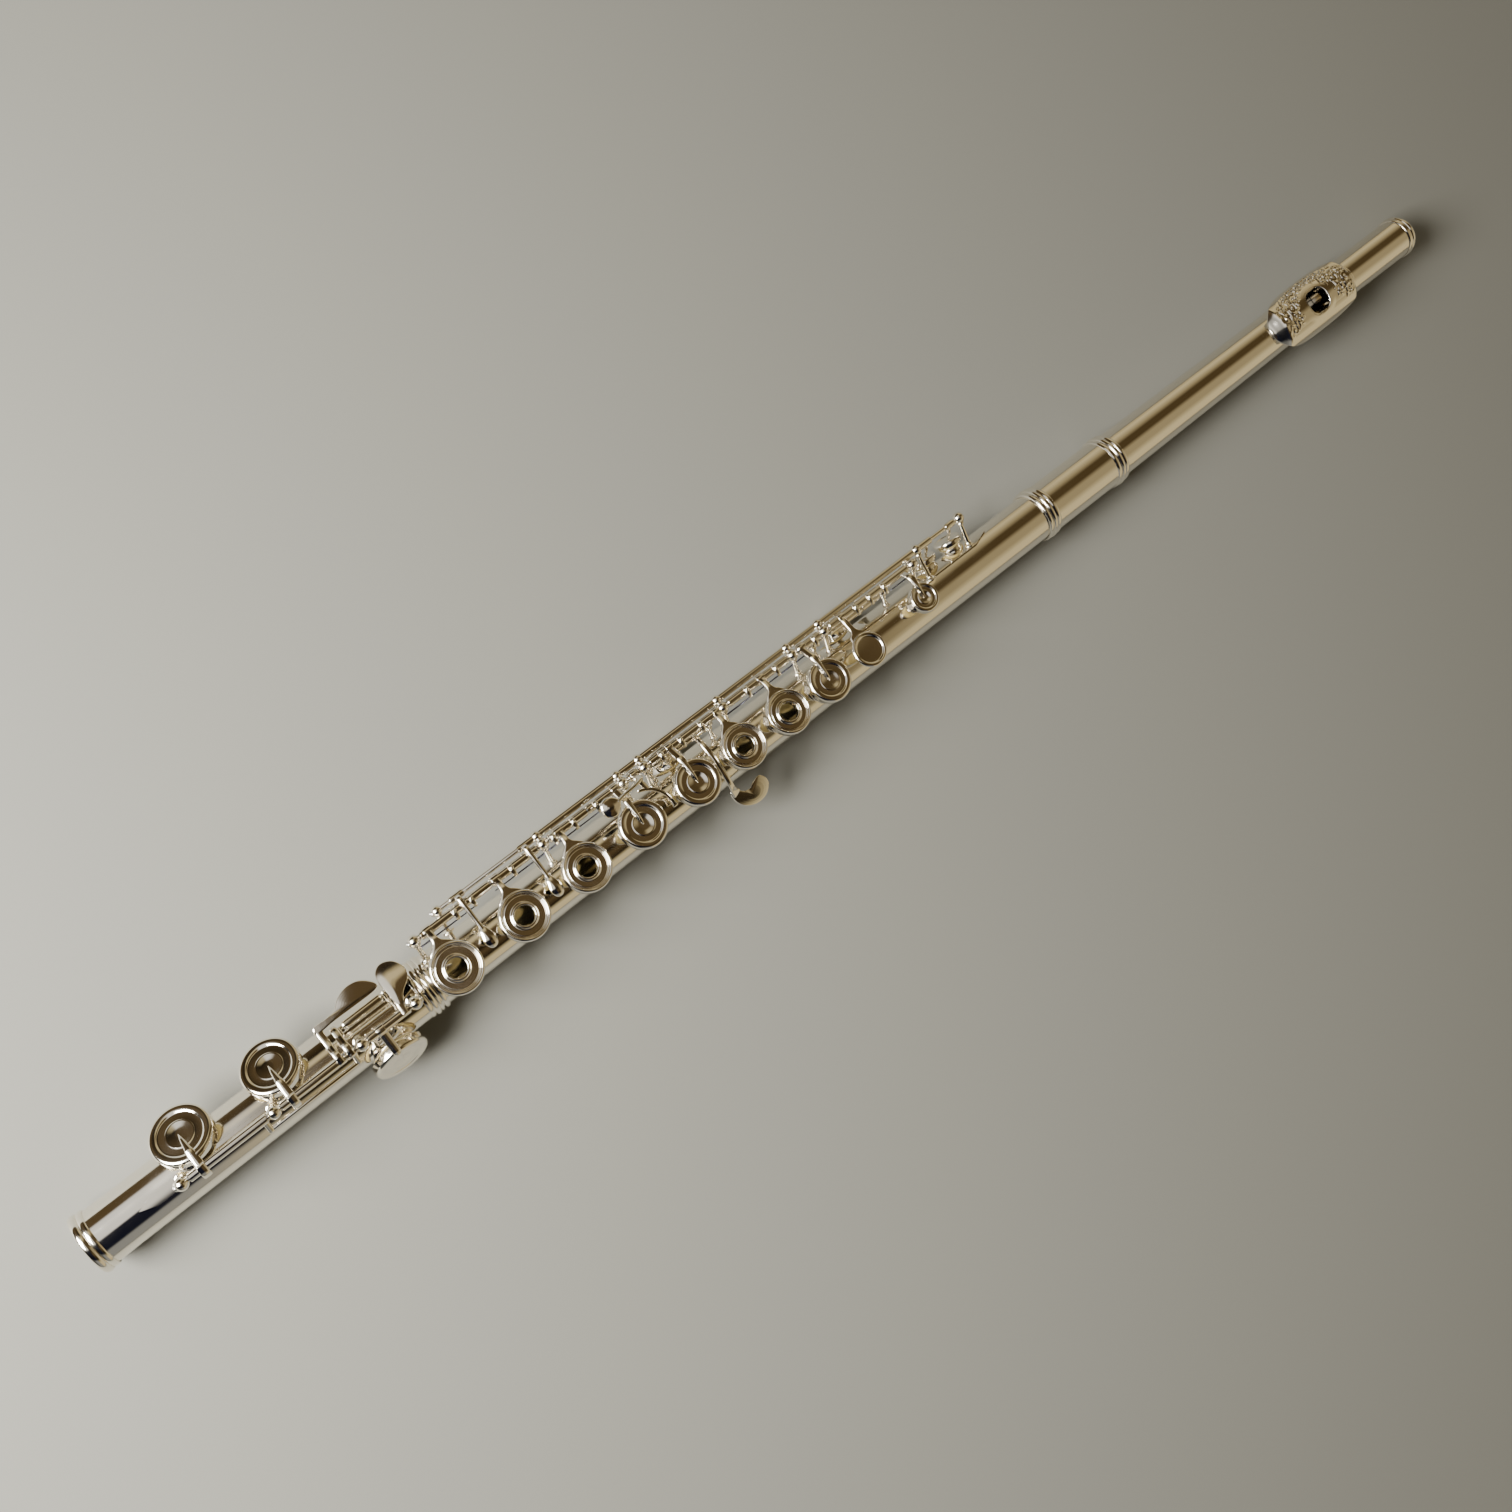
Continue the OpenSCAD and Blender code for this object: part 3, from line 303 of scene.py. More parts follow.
def handling_group():
    """Finger haze and hairline scratches on a polished plate."""
    group, given, result = node_group(
        "handling", [("Clean Roughness", "NodeSocketFloat", 0.05), ("Haze", "NodeSocketFloat", 0.05),
                     ("Haze Scale", "NodeSocketFloat", 60.0)],
        [("Roughness", "NodeSocketFloat"), ("Scratches", "NodeSocketFloat"), ("Tarnish", "NodeSocketFloat")])
    link = group.links.new
    place = group.nodes.new("ShaderNodeTexCoord")
    haze = filled(group.nodes.new("ShaderNodeTexNoise"), Detail=5)
    link(place.outputs["Object"], haze.inputs["Vector"])
    link(given.outputs["Haze Scale"], haze.inputs["Scale"])
    spread = filled(group.nodes.new("ShaderNodeMapRange"), From_Min=0.42, From_Max=0.75)
    link(haze.outputs["Fac"], spread.inputs["Value"])
    scaled = group.nodes.new("ShaderNodeMath")
    scaled.operation = "MULTIPLY_ADD"
    link(spread.outputs["Result"], scaled.inputs[0])
    link(given.outputs["Haze"], scaled.inputs[1])
    link(given.outputs["Clean Roughness"], scaled.inputs[2])
    link(scaled.outputs["Value"], result.inputs["Roughness"])
    stretch = filled(group.nodes.new("ShaderNodeMapping"), Scale=(180, 2600, 2600), Rotation=(0.3, 0.2, 0.35))
    link(place.outputs["Object"], stretch.inputs["Vector"])
    hair = filled(group.nodes.new("ShaderNodeTexNoise"), Scale=1, Detail=2)
    link(stretch.outputs["Vector"], hair.inputs["Vector"])
    lines = filled(group.nodes.new("ShaderNodeMapRange"), From_Min=0.62, From_Max=0.72)
    link(hair.outputs["Fac"], lines.inputs["Value"])
    link(lines.outputs["Result"], result.inputs["Scratches"])
    cloud = filled(group.nodes.new("ShaderNodeTexNoise"), Scale=14, Detail=3)
    link(place.outputs["Object"], cloud.inputs["Vector"])
    link(cloud.outputs["Fac"], result.inputs["Tarnish"])
    return group


def fibre_group():
    """Mottled, slightly uneven surface of felt, skin or cork."""
    group, given, result = node_group(
        "fibres", [("Light", "NodeSocketColor", (1, 1, 1, 1)), ("Dark", "NodeSocketColor", (0, 0, 0, 1)),
                   ("Grain", "NodeSocketFloat", 900.0)],
        [("Color", "NodeSocketColor"), ("Height", "NodeSocketFloat")])
    link = group.links.new
    place = group.nodes.new("ShaderNodeTexCoord")
    fleck = filled(group.nodes.new("ShaderNodeTexNoise"), Detail=6)
    link(place.outputs["Object"], fleck.inputs["Vector"])
    link(given.outputs["Grain"], fleck.inputs["Scale"])
    mix = group.nodes.new("ShaderNodeMix")
    mix.data_type = "RGBA"
    link(fleck.outputs["Fac"], mix.inputs[0])
    link(given.outputs["Dark"], mix.inputs[6])
    link(given.outputs["Light"], mix.inputs[7])
    link(mix.outputs[2], result.inputs["Color"])
    link(fleck.outputs["Fac"], result.inputs["Height"])
    return group


HANDLING = handling_group()
FIBRES = fibre_group()


def placed_group(material, group, **values):
    node = material.node_tree.nodes.new("ShaderNodeGroup")
    node.node_tree = group
    return filled(node, **values)


def blank(name):
    material = bpy.data.materials.new(name)
    material.use_nodes = True
    return material, material.node_tree.nodes["Principled BSDF"], material.node_tree.links.new


def metal(name, bright, dull, clean, haze, scratch=0.02, haze_scale=60.0):
    """A polished or ground metal: bright colour, the colour it dulls to, and its handling marks."""
    material, shader, link = blank(name)
    marks = placed_group(material, HANDLING, Clean_Roughness=clean, Haze=haze, Haze_Scale=haze_scale)
    tone = material.node_tree.nodes.new("ShaderNodeMix")
    tone.data_type = "RGBA"
    tone.inputs[6].default_value = (*bright, 1)
    tone.inputs[7].default_value = (*dull, 1)
    link(marks.outputs["Tarnish"], tone.inputs[0])
    link(tone.outputs[2], shader.inputs["Base Color"])
    link(marks.outputs["Roughness"], shader.inputs["Roughness"])
    bump = filled(material.node_tree.nodes.new("ShaderNodeBump"), Strength=scratch, Distance=0.02 * MM)
    link(marks.outputs["Scratches"], bump.inputs["Height"])
    link(bump.outputs["Normal"], shader.inputs["Normal"])
    shader.inputs["Metallic"].default_value = 1
    return material


def fibrous(name, light, dark, grain, rough, strength=0.3):
    """A soft, mottled material: pad skin, felt or cork."""
    material, shader, link = blank(name)
    fibres = placed_group(material, FIBRES, Light=(*light, 1), Dark=(*dark, 1), Grain=grain)
    link(fibres.outputs["Color"], shader.inputs["Base Color"])
    bump = filled(material.node_tree.nodes.new("ShaderNodeBump"), Strength=strength, Distance=0.1 * MM)
    link(fibres.outputs["Height"], bump.inputs["Height"])
    link(bump.outputs["Normal"], shader.inputs["Normal"])
    shader.inputs["Roughness"].default_value = rough
    return material


SILVER = metal("silver_plate", (0.95, 0.91, 0.82), (0.89, 0.83, 0.71), 0.085, 0.08)
FINISHES = {
    "silver": SILVER,
    "rod_steel": metal("ground_steel", (0.72, 0.71, 0.69), (0.60, 0.59, 0.57), 0.14, 0.1, 0.1),
    "spring_steel": metal("blued_steel", (0.12, 0.14, 0.24), (0.20, 0.20, 0.26), 0.2, 0.1),
    "pad_felt": fibrous("pad_skin", (0.86, 0.76, 0.42), (0.66, 0.52, 0.22), 700.0, 0.55),
    "cork": fibrous("cork", (0.76, 0.55, 0.36), (0.42, 0.26, 0.14), 420.0, 0.8, 0.8),
}


# ---- making a piece ----

def finish_mesh(obj, deg):
    obj.data.shade_smooth()
    obj.data.set_sharp_from_angle(angle=math.radians(deg))


def piece(node, bm, crease=38):
    """Makes bm, drawn in millimetres, the piece that stands for a CAD node."""
    bmesh.ops.recalc_face_normals(bm, faces=bm.faces)
    bmesh.ops.scale(bm, vec=(MM, MM, MM), verts=bm.verts)
    mesh = bpy.data.meshes.new(node + "_made")
    bm.to_mesh(mesh)
    bm.free()
    obj = bpy.data.objects.new(node + "_made", mesh)
    bpy.context.scene.collection.objects.link(obj)
    mesh.materials.append(FINISHES[SLOT_OF[node]])
    finish_mesh(obj, crease)
    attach(obj, BODY_OF[node])
    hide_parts(node)
    return obj


def polished_copy(node, flat_to=None):
    """A CAD node's own shape with joined faces, and true round shading wherever it follows the tube.

    A strap is flatter than the tube under it: flat_to is the direction that its middle faces.
    """
    bm = bmesh.new()
    bm.from_mesh(frame["nodes"][node].data)
    bmesh.ops.remove_doubles(bm, verts=bm.verts, dist=1e-7)
    bmesh.ops.scale(bm, vec=(1 / MM, 1 / MM, 1 / MM), verts=bm.verts)
    mesh = piece(node, bm, 30).data
    corners = np.zeros(len(mesh.loops) * 3, np.float32)
    mesh.corner_normals.foreach_get("vector", corners)
    corners = corners.reshape(-1, 3)
    for face in mesh.polygons:
        centre = Vector((0, face.center.y, face.center.z)).normalized()
        along = face.normal.dot(centre)
        if abs(along) < 0.996:
            continue
        for loop in face.loop_indices:
            spot = mesh.vertices[mesh.loops[loop].vertex_index].co
            outward = Vector((0, spot.y, spot.z)).normalized()
            if flat_to:
                outward = (outward + facing(flat_to) @ Vector((0, 0, 2))).normalized()
            outward.x = face.normal.x / along
            corners[loop] = outward.normalized() * math.copysign(1, along)
    mesh.normals_split_custom_set([tuple(corner) for corner in corners])


# ---- head joint ----

MOUTH_X = 603
HEAD_TURN = 4


def bead(start, end, base, top, steps=8):
    """Half-round bead as (radius, place) points."""
    return [(base + (top - base) * math.sin(math.pi * i / steps),
             start + (end - start) * (1 - math.cos(math.pi * i / steps)) / 2) for i in range(steps + 1)]


def rings_piece(node, outline):
    bm = bmesh.new()
    spun(bm, outline, ALONG, steps=160, closed=True)
    return piece(node, bm, 30)


def barrel():
    first, last = span("barrel")
    wall, wide = 10.45, 2.2
    near = last - 3 * wide
    rings_piece("barrel", [
        *bead(first, first + wide, wall - 0.1, 11.1), *bead(first + wide, first + 2 * wide, wall - 0.1, 11.3),
        *bead(first + 2 * wide, first + 3 * wide, wall, 11.05), *bead(near, near + wide, wall, 11.05),
        *bead(near + wide, near + 2 * wide, wall - 0.1, 11.3), *bead(near + 2 * wide, last, wall - 0.1, 11),
        (RING_BORE, last), (RING_BORE, first)])


def crown():
    first = span("crown")[1] - 6.8
    outline = softened([
        (0, first - 5), (7.9, first - 5, 0.3), (8.45, first - 4.4, 0.2), (8.45, first, 0.1),
        (9.1, first, 0.1), (9.4, first + 0.4, 0.3), (9.4, first + 1.6, 0.4), (9.05, first + 2.1, 0.2),
        (9.05, first + 2.5, 0.2), (9.38, first + 2.9, 0.3), (9.2, first + 4.2, 1), (8.2, first + 5.7, 1),
        (6, first + 6.5, 1.4), (0, first + 6.8)])
    bm = bmesh.new()
    spun(bm, outline, ALONG, steps=128)
    piece("crown", bm, 40)


def scroll_lines():
    """Leafy scrolls for the lip plate: curled stems and the leaves that spring from them."""
    stems = []
    for x, y, size, start, turns in (
            (-19.4, 1.2, 2.7, 200, 1.3), (-14.2, 3.4, 2.6, 20, -1.3), (-18.8, 6.4, 2.2, 120, 1.3),
            (-13.6, 8.2, 2.0, 240, -1.2), (-9.4, 5.9, 2.3, 60, 1.3), (-8.6, 9.7, 1.7, 160, -1.2),
            (-4.4, 8.9, 1.9, 0, 1.2), (0, 9.9, 1.7, 200, -1.2), (4.4, 8.9, 1.9, 180, 1.2),
            (8.8, 9.6, 1.7, 20, -1.2), (9.6, 5.8, 2.3, 120, 1.3), (14, 8.2, 2.0, 300, -1.2),
            (14.4, 3.4, 2.6, 160, 1.3), (19, 6.2, 2.2, 60, -1.3), (19.4, 1.2, 2.7, -20, 1.3),
            (-18.6, -3.8, 2.4, 160, -1.3), (-13.6, -1.4, 1.9, 100, 1.2), (18.6, -3.8, 2.4, 20, 1.3),
            (13.6, -1.4, 1.9, 80, -1.2)):
        stem = []
        for i in range(20):
            part = i / 19
            angle = math.radians(start + 360 * turns * part)
            reach = size * (1 - part) ** 0.8
            stem.append((x + reach * math.cos(angle), y + reach * math.sin(angle)))
        stems.append((stem, 0.3))
        for i in range(1, 7):
            angle = math.radians(start + 60 * i)
            root = (x + size * 0.98 * math.cos(angle), y + size * 0.98 * math.sin(angle))
            tip = (x + size * 1.4 * math.cos(angle + 0.35), y + size * 1.4 * math.sin(angle + 0.35))
            stems.append(([root, tip], 0.36))
    return stems


def relief(points):
    """Height of the chased scrollwork at plan points, in millimetres."""
    height = np.zeros(len(points))
    for line, width in scroll_lines():
        line = np.array(line)
        for a, b in zip(line, line[1:]):
            along = b - a
            t = np.clip(((points - a) @ along) / max(along @ along, 1e-9), 0, 1)
            gap = np.linalg.norm(points - a - t[:, None] * along, axis=1)
            height = np.maximum(height, np.exp(-(gap / width) ** 2 * 1.6))
    return height


def lip_plate():
    """The plate: a curved shell that dips to the tube at both ends, chased on the player's side."""
    half_l, half_w = half_length("lip_plate") - 0.1, 12.0
    top_r, thick = 13.75, 0.85
    wrap = math.radians(60)
    edge_shape, hole_shape = 2.7, 2.5
    count, levels = 420, 96
    turns = np.arange(count) * math.tau / count

    def oval(length, width, shape):
        c, s = np.cos(turns), np.sin(turns)
        reach = (np.abs(c / length) ** shape + np.abs(s / width) ** shape) ** (-1 / shape)
        return np.stack([reach * c, reach * s], axis=1)

    hole, rim = oval(6.2, 5.2, hole_shape), oval(half_l, half_w, edge_shape)

    def on_plate(plan, sink):
        """Plan points wrapped round the tube, sunk into the plate's upper face."""
        x, y = plan[:, 0] - 1, plan[:, 1]
        dip = np.clip((np.abs(plan[:, 0]) - (half_l - 6)) / 6, 0, 1)
        dip = dip * dip * (3 - 2 * dip)
        radius = top_r - 3.7 * dip - sink
        side = y / half_w * wrap
        return np.stack([MOUTH_X + x, radius * np.sin(side), radius * np.cos(side)], axis=1)

    rings = []
    for deg in (90, 45):
        rings.append(on_plate(hole * (1 - 0.02 * math.sin(math.radians(deg))), thick * 0.5 * deg / 90))
    for i in range(levels + 1):
        part = i / levels
        plan = hole + (rim - hole) * (0.02 + 0.965 * part)
        chased = relief(plan)
        edge = 1 - np.clip((np.linalg.norm(plan / (half_l, half_w), axis=1) - 0.86) / 0.1, 0, 1)
        clear = np.clip((plan[:, 1] + 6.5) / 1.5, 0, 1) * np.clip((22.5 - np.abs(plan[:, 0])) / 1.5, 0, 1)
        clear *= np.clip((np.linalg.norm(plan / (8.3, 6.9), axis=1) - 1) * 4, 0, 1)
        ground = 0.07 * clear * edge
        rings.append(on_plate(plan, ground * 3 - 0.42 * chased * clear * edge))
    for deg in (30, 60, 90):
        grow = 0.985 + 0.015 * math.sin(math.radians(deg))
        rings.append(on_plate(rim * grow, thick * 0.5 * (1 - math.cos(math.radians(deg)))))
    rings.append(on_plate(rim * 0.985, np.full(count, thick)))
    for part in (0.75, 0.5, 0.25, 0.0):
        rings.append(on_plate(hole + (rim - hole) * part, np.full(count, thick)))
    bm = bmesh.new()
    hooped(bm, [[tuple(point) for point in ring] for ring in rings], facing(HEAD_TURN))
    piece("lip_plate", bm, 60)


# ---- posts, rods and screws ----

def post(bm, x, y, z, foot_deg, ball, foot=TUBE_R - 0.1, stem=0.95):
    """A turned post from the tube to its ball at y, z."""
    foot_y, foot_z = foot * math.sin(math.radians(foot_deg)), foot * math.cos(math.radians(foot_deg))
    length = math.dist((y, z), (foot_y, foot_z))
    lean = Matrix.Rotation(math.atan2(foot_y - y, z - foot_z), 4, "X")
    outline = [(0, 0), (stem + 1.3, 0, 0.1), (stem + 1.3, 0.7, 0.25), (stem + 0.6, 1.0, 0.3),
               (stem, 1.7, 0.5), (stem * 0.86, length - ball - 0.7, 0.4),
               (stem + 0.45, length - ball - 0.25, 0.2), (stem + 0.45, length - ball + 0.15, 0.2)]
    outline = softened(outline)
    start = math.asin(min(1, (stem + 0.3) / ball))
    outline += [(ball * math.sin(math.pi - a), length + ball * math.cos(math.pi - a))
                for a in np.linspace(start, math.pi, 20)]
    outline[-1] = (0, length + ball)
    spun(bm, outline, at(x, foot_y, foot_z) @ lean, steps=40)


def ball_on(bm, x, y, z, r, bore):
    """A drilled ball that a rod passes through."""
    wide = math.acos(bore / r)
    outline = [(r * math.cos(a), r * math.sin(a)) for a in np.linspace(-wide, wide, 18)]
    spun(bm, outline, at(x, y, z) @ ALONG, steps=40, closed=True)


def screw(bm, x, y, z, way, r=1.25):
    """A domed screw head with its slot, facing way along the flute."""
    outline = softened([(0, -0.6), (r, -0.6, 0.05), (r, 0.2, 0.2), (r * 0.62, 0.62, 0.3), (0, 0.7)])
    place = at(x, y, z) @ Matrix.Rotation(math.radians(90 * way), 4, "Y")
    head = spun(bm, outline, steps=28)
    for vert in head:
        if abs(vert.co.x) < r * 0.16 and vert.co.z > 0.15:
            vert.co.z -= 0.32
    bmesh.ops.transform(bm, matrix=place, verts=head)


def rod(bm, first, last, y, z, r):
    outline = softened([(0, first), (r, first, 0.15), (r, last, 0.15), (0, last)], 2)
    spun(bm, outline, at(0, y, z) @ ALONG, steps=32)


def key_tube(bm, first, last, y, z, r, bore, place=Matrix()):
    """A key's tube with chamfered ends."""
    outline = [(bore, first), (r - 0.12, first), (r, first + 0.14)]
    outline += [(r, last - 0.14), (r - 0.12, last), (bore, last)]
    spun(bm, outline, place @ at(0, y, z) @ ALONG, steps=40, closed=True)


def collar(bm, x, y, z, r, wide, bore, place=Matrix()):
    """A ring brazed on a key's tube, where an arm starts."""
    outline = softened([(bore, -wide / 2), (r, -wide / 2, 0.2), (r, wide / 2, 0.2), (bore, wide / 2)], 3)
    spun(bm, outline, place @ at(x, y, z) @ ALONG, steps=40, closed=True)


def main_posts():
    deg = math.degrees(math.atan2(MAIN_Y, MAIN_Z))
    bm = bmesh.new()
    for x in (135.3, 189.5, 225.2, 235, 272, 306, 322, 368):
        post(bm, x, MAIN_Y, MAIN_Z, deg, 2.3)
    piece("main_posts", bm)


def trill_posts():
    bm = bmesh.new()
    for x, foot_deg, ball in ((147.3, 88, 2.0), (373.6, 38, 2.2), (396.8, 50, 2.3)):
        post(bm, x, TRILL_Y, TRILL_Z, foot_deg, ball, stem=1.0)
    for x in (189.5, 225.2, 235, 272, 306, 322):
        ball_on(bm, x, TRILL_Y, TRILL_Z, 2.0, TRILL_TUBE_R + 0.05)
    piece("trill_posts", bm)


def side_posts():
    deg = math.degrees(math.atan2(SIDE_Y, SIDE_Z))
    bm = bmesh.new()
    for x in (236.6, 264.6, 316.4, 352.6):
        post(bm, x, SIDE_Y, SIDE_Z, deg, 1.8, stem=0.8)
    piece("side_posts", bm)


def foot_posts():
    bm = bmesh.new()
    for x in (34.4, 68.3, 102, 123.3):
        post(bm, x, FOOT_Y, FOOT_Z, 0, 2.4, stem=1.1)
    piece("foot_posts", bm)


def pivot_screws():
    bm = bmesh.new()
    for x, way in ((133.25, -1), (370.05, 1)):
        screw(bm, x, MAIN_Y, MAIN_Z, way)
    for x, way in ((145.55, -1), (398.55, 1)):
        screw(bm, x, TRILL_Y, TRILL_Z, way, 1.1)
    for x, way in ((235.1, -1), (266.1, 1), (314.9, -1), (354.1, 1)):
        screw(bm, x, SIDE_Y, SIDE_Z, way, 1.1)
    piece("pivot_screws", bm)


def foot_screws():
    bm = bmesh.new()
    screw(bm, 32.3, FOOT_Y, FOOT_Z, -1)
    screw(bm, 125.4, FOOT_Y, FOOT_Z, 1)
    piece("foot_screws", bm)


def springs(node, y, z, wires, sag):
    """Needle springs: thin tapered wires that bow a little away from their rod."""
    bm = bmesh.new()
    for x, reach in wires:
        stations = [(x + reach * t, y, z - sag * 4 * t * (1 - t), 0.72 - 0.3 * t, 0.72 - 0.3 * t)
                    for t in (0, 0.25, 0.5, 0.75, 1)]
        swept(bm, stations, square=2, sides=10, steps=3)
    piece(node, bm)


# ---- cups and pads ----

def open_cup(bm, r, place):
    outline = softened([
        (3.5, 0.8), (3.5, 3.85, 0.3), (4.3, 3.95, 0.45), (4.8, 3.3, 0.4), (0.77 * r, 3.42, 0.3),
        (0.8 * r, 3.1, 0.15), (0.835 * r, 3.15, 0.2), (0.87 * r, 4.15, 0.6), (r - 0.3, 4.1, 0.7),
        (r, 2.9, 0.6), (r, 0.7, 0.12), (r - 0.5, 0.7, 0.12), (r - 0.5, PAD_H, 0.2), (3.9, PAD_H, 0.1),
        (3.9, 0.8)])
    spun(bm, outline, place, steps=96, closed=True)


def closed_cup(bm, r, place, h=CUP_H, inner=PAD_H):
    outline = softened([
        (0, h - 0.72), (0.2 * r, h - 0.7, 0.8), (0.38 * r, h - 0.34, 0.5), (0.43 * r, h - 0.24, 0.25),
        (0.48 * r, h - 0.4, 0.3), (0.7 * r, h - 0.44, 0.5), (0.74 * r, h - 0.18, 0.3),
        (0.8 * r, h - 0.04, 0.5), (0.92 * r, h, 0.7), (r, h - 0.75, 0.7), (r, 0.7, 0.12),
        (r - 0.5, 0.7, 0.12), (r - 0.5, inner, 0.2), (0, inner)])
    spun(bm, outline, place, steps=96)


def round_touch(bm, r, place):
    outline = softened([
        (0, 3.55), (0.74 * r, 3.62, 0.4), (0.8 * r, 4.05, 0.35), (0.92 * r, 4.2, 0.5), (r, 3.6, 0.5),
        (r, 3.0, 0.4), (0.84 * r, 2.4, 0.5), (0, 2.4)])
    spun(bm, outline, place, steps=96)


def pad(node, discs):
    """Pads in their skin: discs of (place, radius, height, hole radius)."""
    bm = bmesh.new()
    for place, r, h, hole in discs:
        if hole:
            outline = softened([(hole, 0.15, 0.15), (hole + 0.3, 0, 0.15), (r - 0.7, 0, 0.5), (r, 0.55, 0.5),
                                (r, h, 0.1), (hole, h, 0.1)])
            spun(bm, outline, place, steps=72, closed=True)
        else:
            outline = softened([(0, 0), (r - 0.7, 0, 0.5), (r, 0.55, 0.5), (r, h, 0.1), (0, h)])
            spun(bm, outline, place, steps=72)
    piece(node, bm)


# ---- arms ----

def pointed_arm(bm, x, y, z, top, place=Matrix(), tip=0.0):
    """A keen ridged arm from the rod at y, z to the middle of a cup."""
    way = math.copysign(1, y)
    reach = abs(y)
    stations = [
        (x, way * tip, top - 0.1, 0.4, 0.5), (x, way * (tip + 2.2), top + 0.35, 1.3, 1.1),
        (x, way * (reach * 0.45), top + 0.5, 2.2, 1.4), (x, way * (reach - 5.6), top + 0.35, 2.9, 1.5),
        (x, way * (reach - 3.4), (top + z + 1.8) / 2, 3.2, 1.7),
        (x, way * (reach - 1.1), z + 1.25, 3.2, 1.6)]
    swept(bm, stations, place, square=2.2, sides=24)


def spread_arm(bm, x, y, z, r, place=Matrix()):
    """An arm that opens like a bell towards an open cup's wall."""
    stations = [
        (x, y - 0.2, z + 1.2, 2.2, 1.3), (x, y - 1.6, z + 1.95, 2.25, 1.3),
        (x, r + 3.2, z + 2.65, 2.4, 1.25), (x, r + 1.7, z + 2.85, 3.6, 1.15),
        (x, r + 0.5, z + 2.9, 6.2, 1.1), (x, r - 0.9, z + 2.88, r * 0.98, 1.0),
        (x, r - 2.3, z + 2.85, r * 1.16, 0.9)]
    swept(bm, stations, place, square=3.4, sides=24)


def lug(bm, x, y, z, place=Matrix(), r=KEY_TUBE_R):
    """A small clutch plate on a key's tube, with its adjusting screw."""
    stations = [(x, y + 1.2, z + r * 0.7, 1.7, 0.9), (x, y, z + r + 0.35, 1.8, 1.0),
                (x, y - 1.7, z + r + 0.3, 1.7, 0.8), (x, y - 3.1, z + r - 0.5, 1.5, 0.7)]
    swept(bm, stations, place, square=3.5, sides=16, steps=4)
    outline = softened([(0, 0), (0.75, 0, 0.05), (0.75, 0.5, 0.3), (0.35, 0.85, 0.2), (0, 0.85)])
    spun(bm, outline, place @ at(x, y - 0.2, z + r + 0.6), steps=20)


# ---- keys on the main rod ----

MAIN_OPEN = about(MAIN_Y, MAIN_Z, -travel("d"))
BORE = ROD_R + 0.05


def top_cup_place(x, y=0):
    return MAIN_OPEN @ at(x, y, PAD_Z)


def main_tube(bm, first, last):
    key_tube(bm, first, last, MAIN_Y, MAIN_Z, KEY_TUBE_R, BORE, MAIN_OPEN)


def main_collar(bm, x, wide):
    collar(bm, x, MAIN_Y, MAIN_Z, COLLAR_R, wide, BORE, MAIN_OPEN)


def main_lugs(bm, spots):
    for spot in spots:
        lug(bm, spot, MAIN_Y, MAIN_Z, MAIN_OPEN)


def ring_cup_and_arm(bm, x, r):
    """An open cup and its bell arm."""
    open_cup(bm, r, top_cup_place(x))
    spread_arm(bm, x, MAIN_Y, MAIN_Z, r, MAIN_OPEN)


def shut_cup_and_arm(bm, x, r):
    """A closed cup and its pointed arm."""
    closed_cup(bm, r, top_cup_place(x))
    pointed_arm(bm, x, MAIN_Y, MAIN_Z, PAD_Z + CUP_H - 0.3, MAIN_OPEN)


def main_key(node, first, last, lugs, collar_w, cup_and_arm, hole):
    """A key with one cup on the main rod, and its pad."""
    pad_node = node.replace("key", "pad")
    x, r = middle(pad_node), half_length(pad_node) + CUP_OVER_PAD
    bm = bmesh.new()
    main_tube(bm, first, last)
    main_collar(bm, x, collar_w)
    cup_and_arm(bm, x, r)
    main_lugs(bm, lugs)
    piece(node, bm)
    pad(pad_node, [(top_cup_place(x), r - CUP_OVER_PAD, PAD_H, hole)])


def open_hole_key(node, first, last, lugs):
    main_key(node, first, last, lugs, 3.2, ring_cup_and_arm, PAD_HOLE_R)


def closed_key(node, first, last, lugs):
    main_key(node, first, last, lugs, 3.0, shut_cup_and_arm, 0)


def g_keys():
    first, last = span("g_pads")
    low_r, r = 8.8, 8.7
    low_x, x = first + low_r - CUP_OVER_PAD, last - r + CUP_OVER_PAD
    bm = bmesh.new()
    main_tube(bm, 237.6, 269.4)
    for spot in (low_x, x):
        main_collar(bm, spot, 2.6)
    shut_cup_and_arm(bm, low_x, low_r)
    open_cup(bm, r, top_cup_place(x))
    spread_arm(bm, x - 0.6, MAIN_Y, MAIN_Z, r, MAIN_OPEN)
    main_lugs(bm, (242.4, 251.5, 261))
    piece("g_keys", bm)
    pad("g_pads", [(top_cup_place(low_x), low_r - CUP_OVER_PAD, PAD_H, 0),
                   (top_cup_place(x), r - CUP_OVER_PAD, PAD_H, PAD_HOLE_R)])


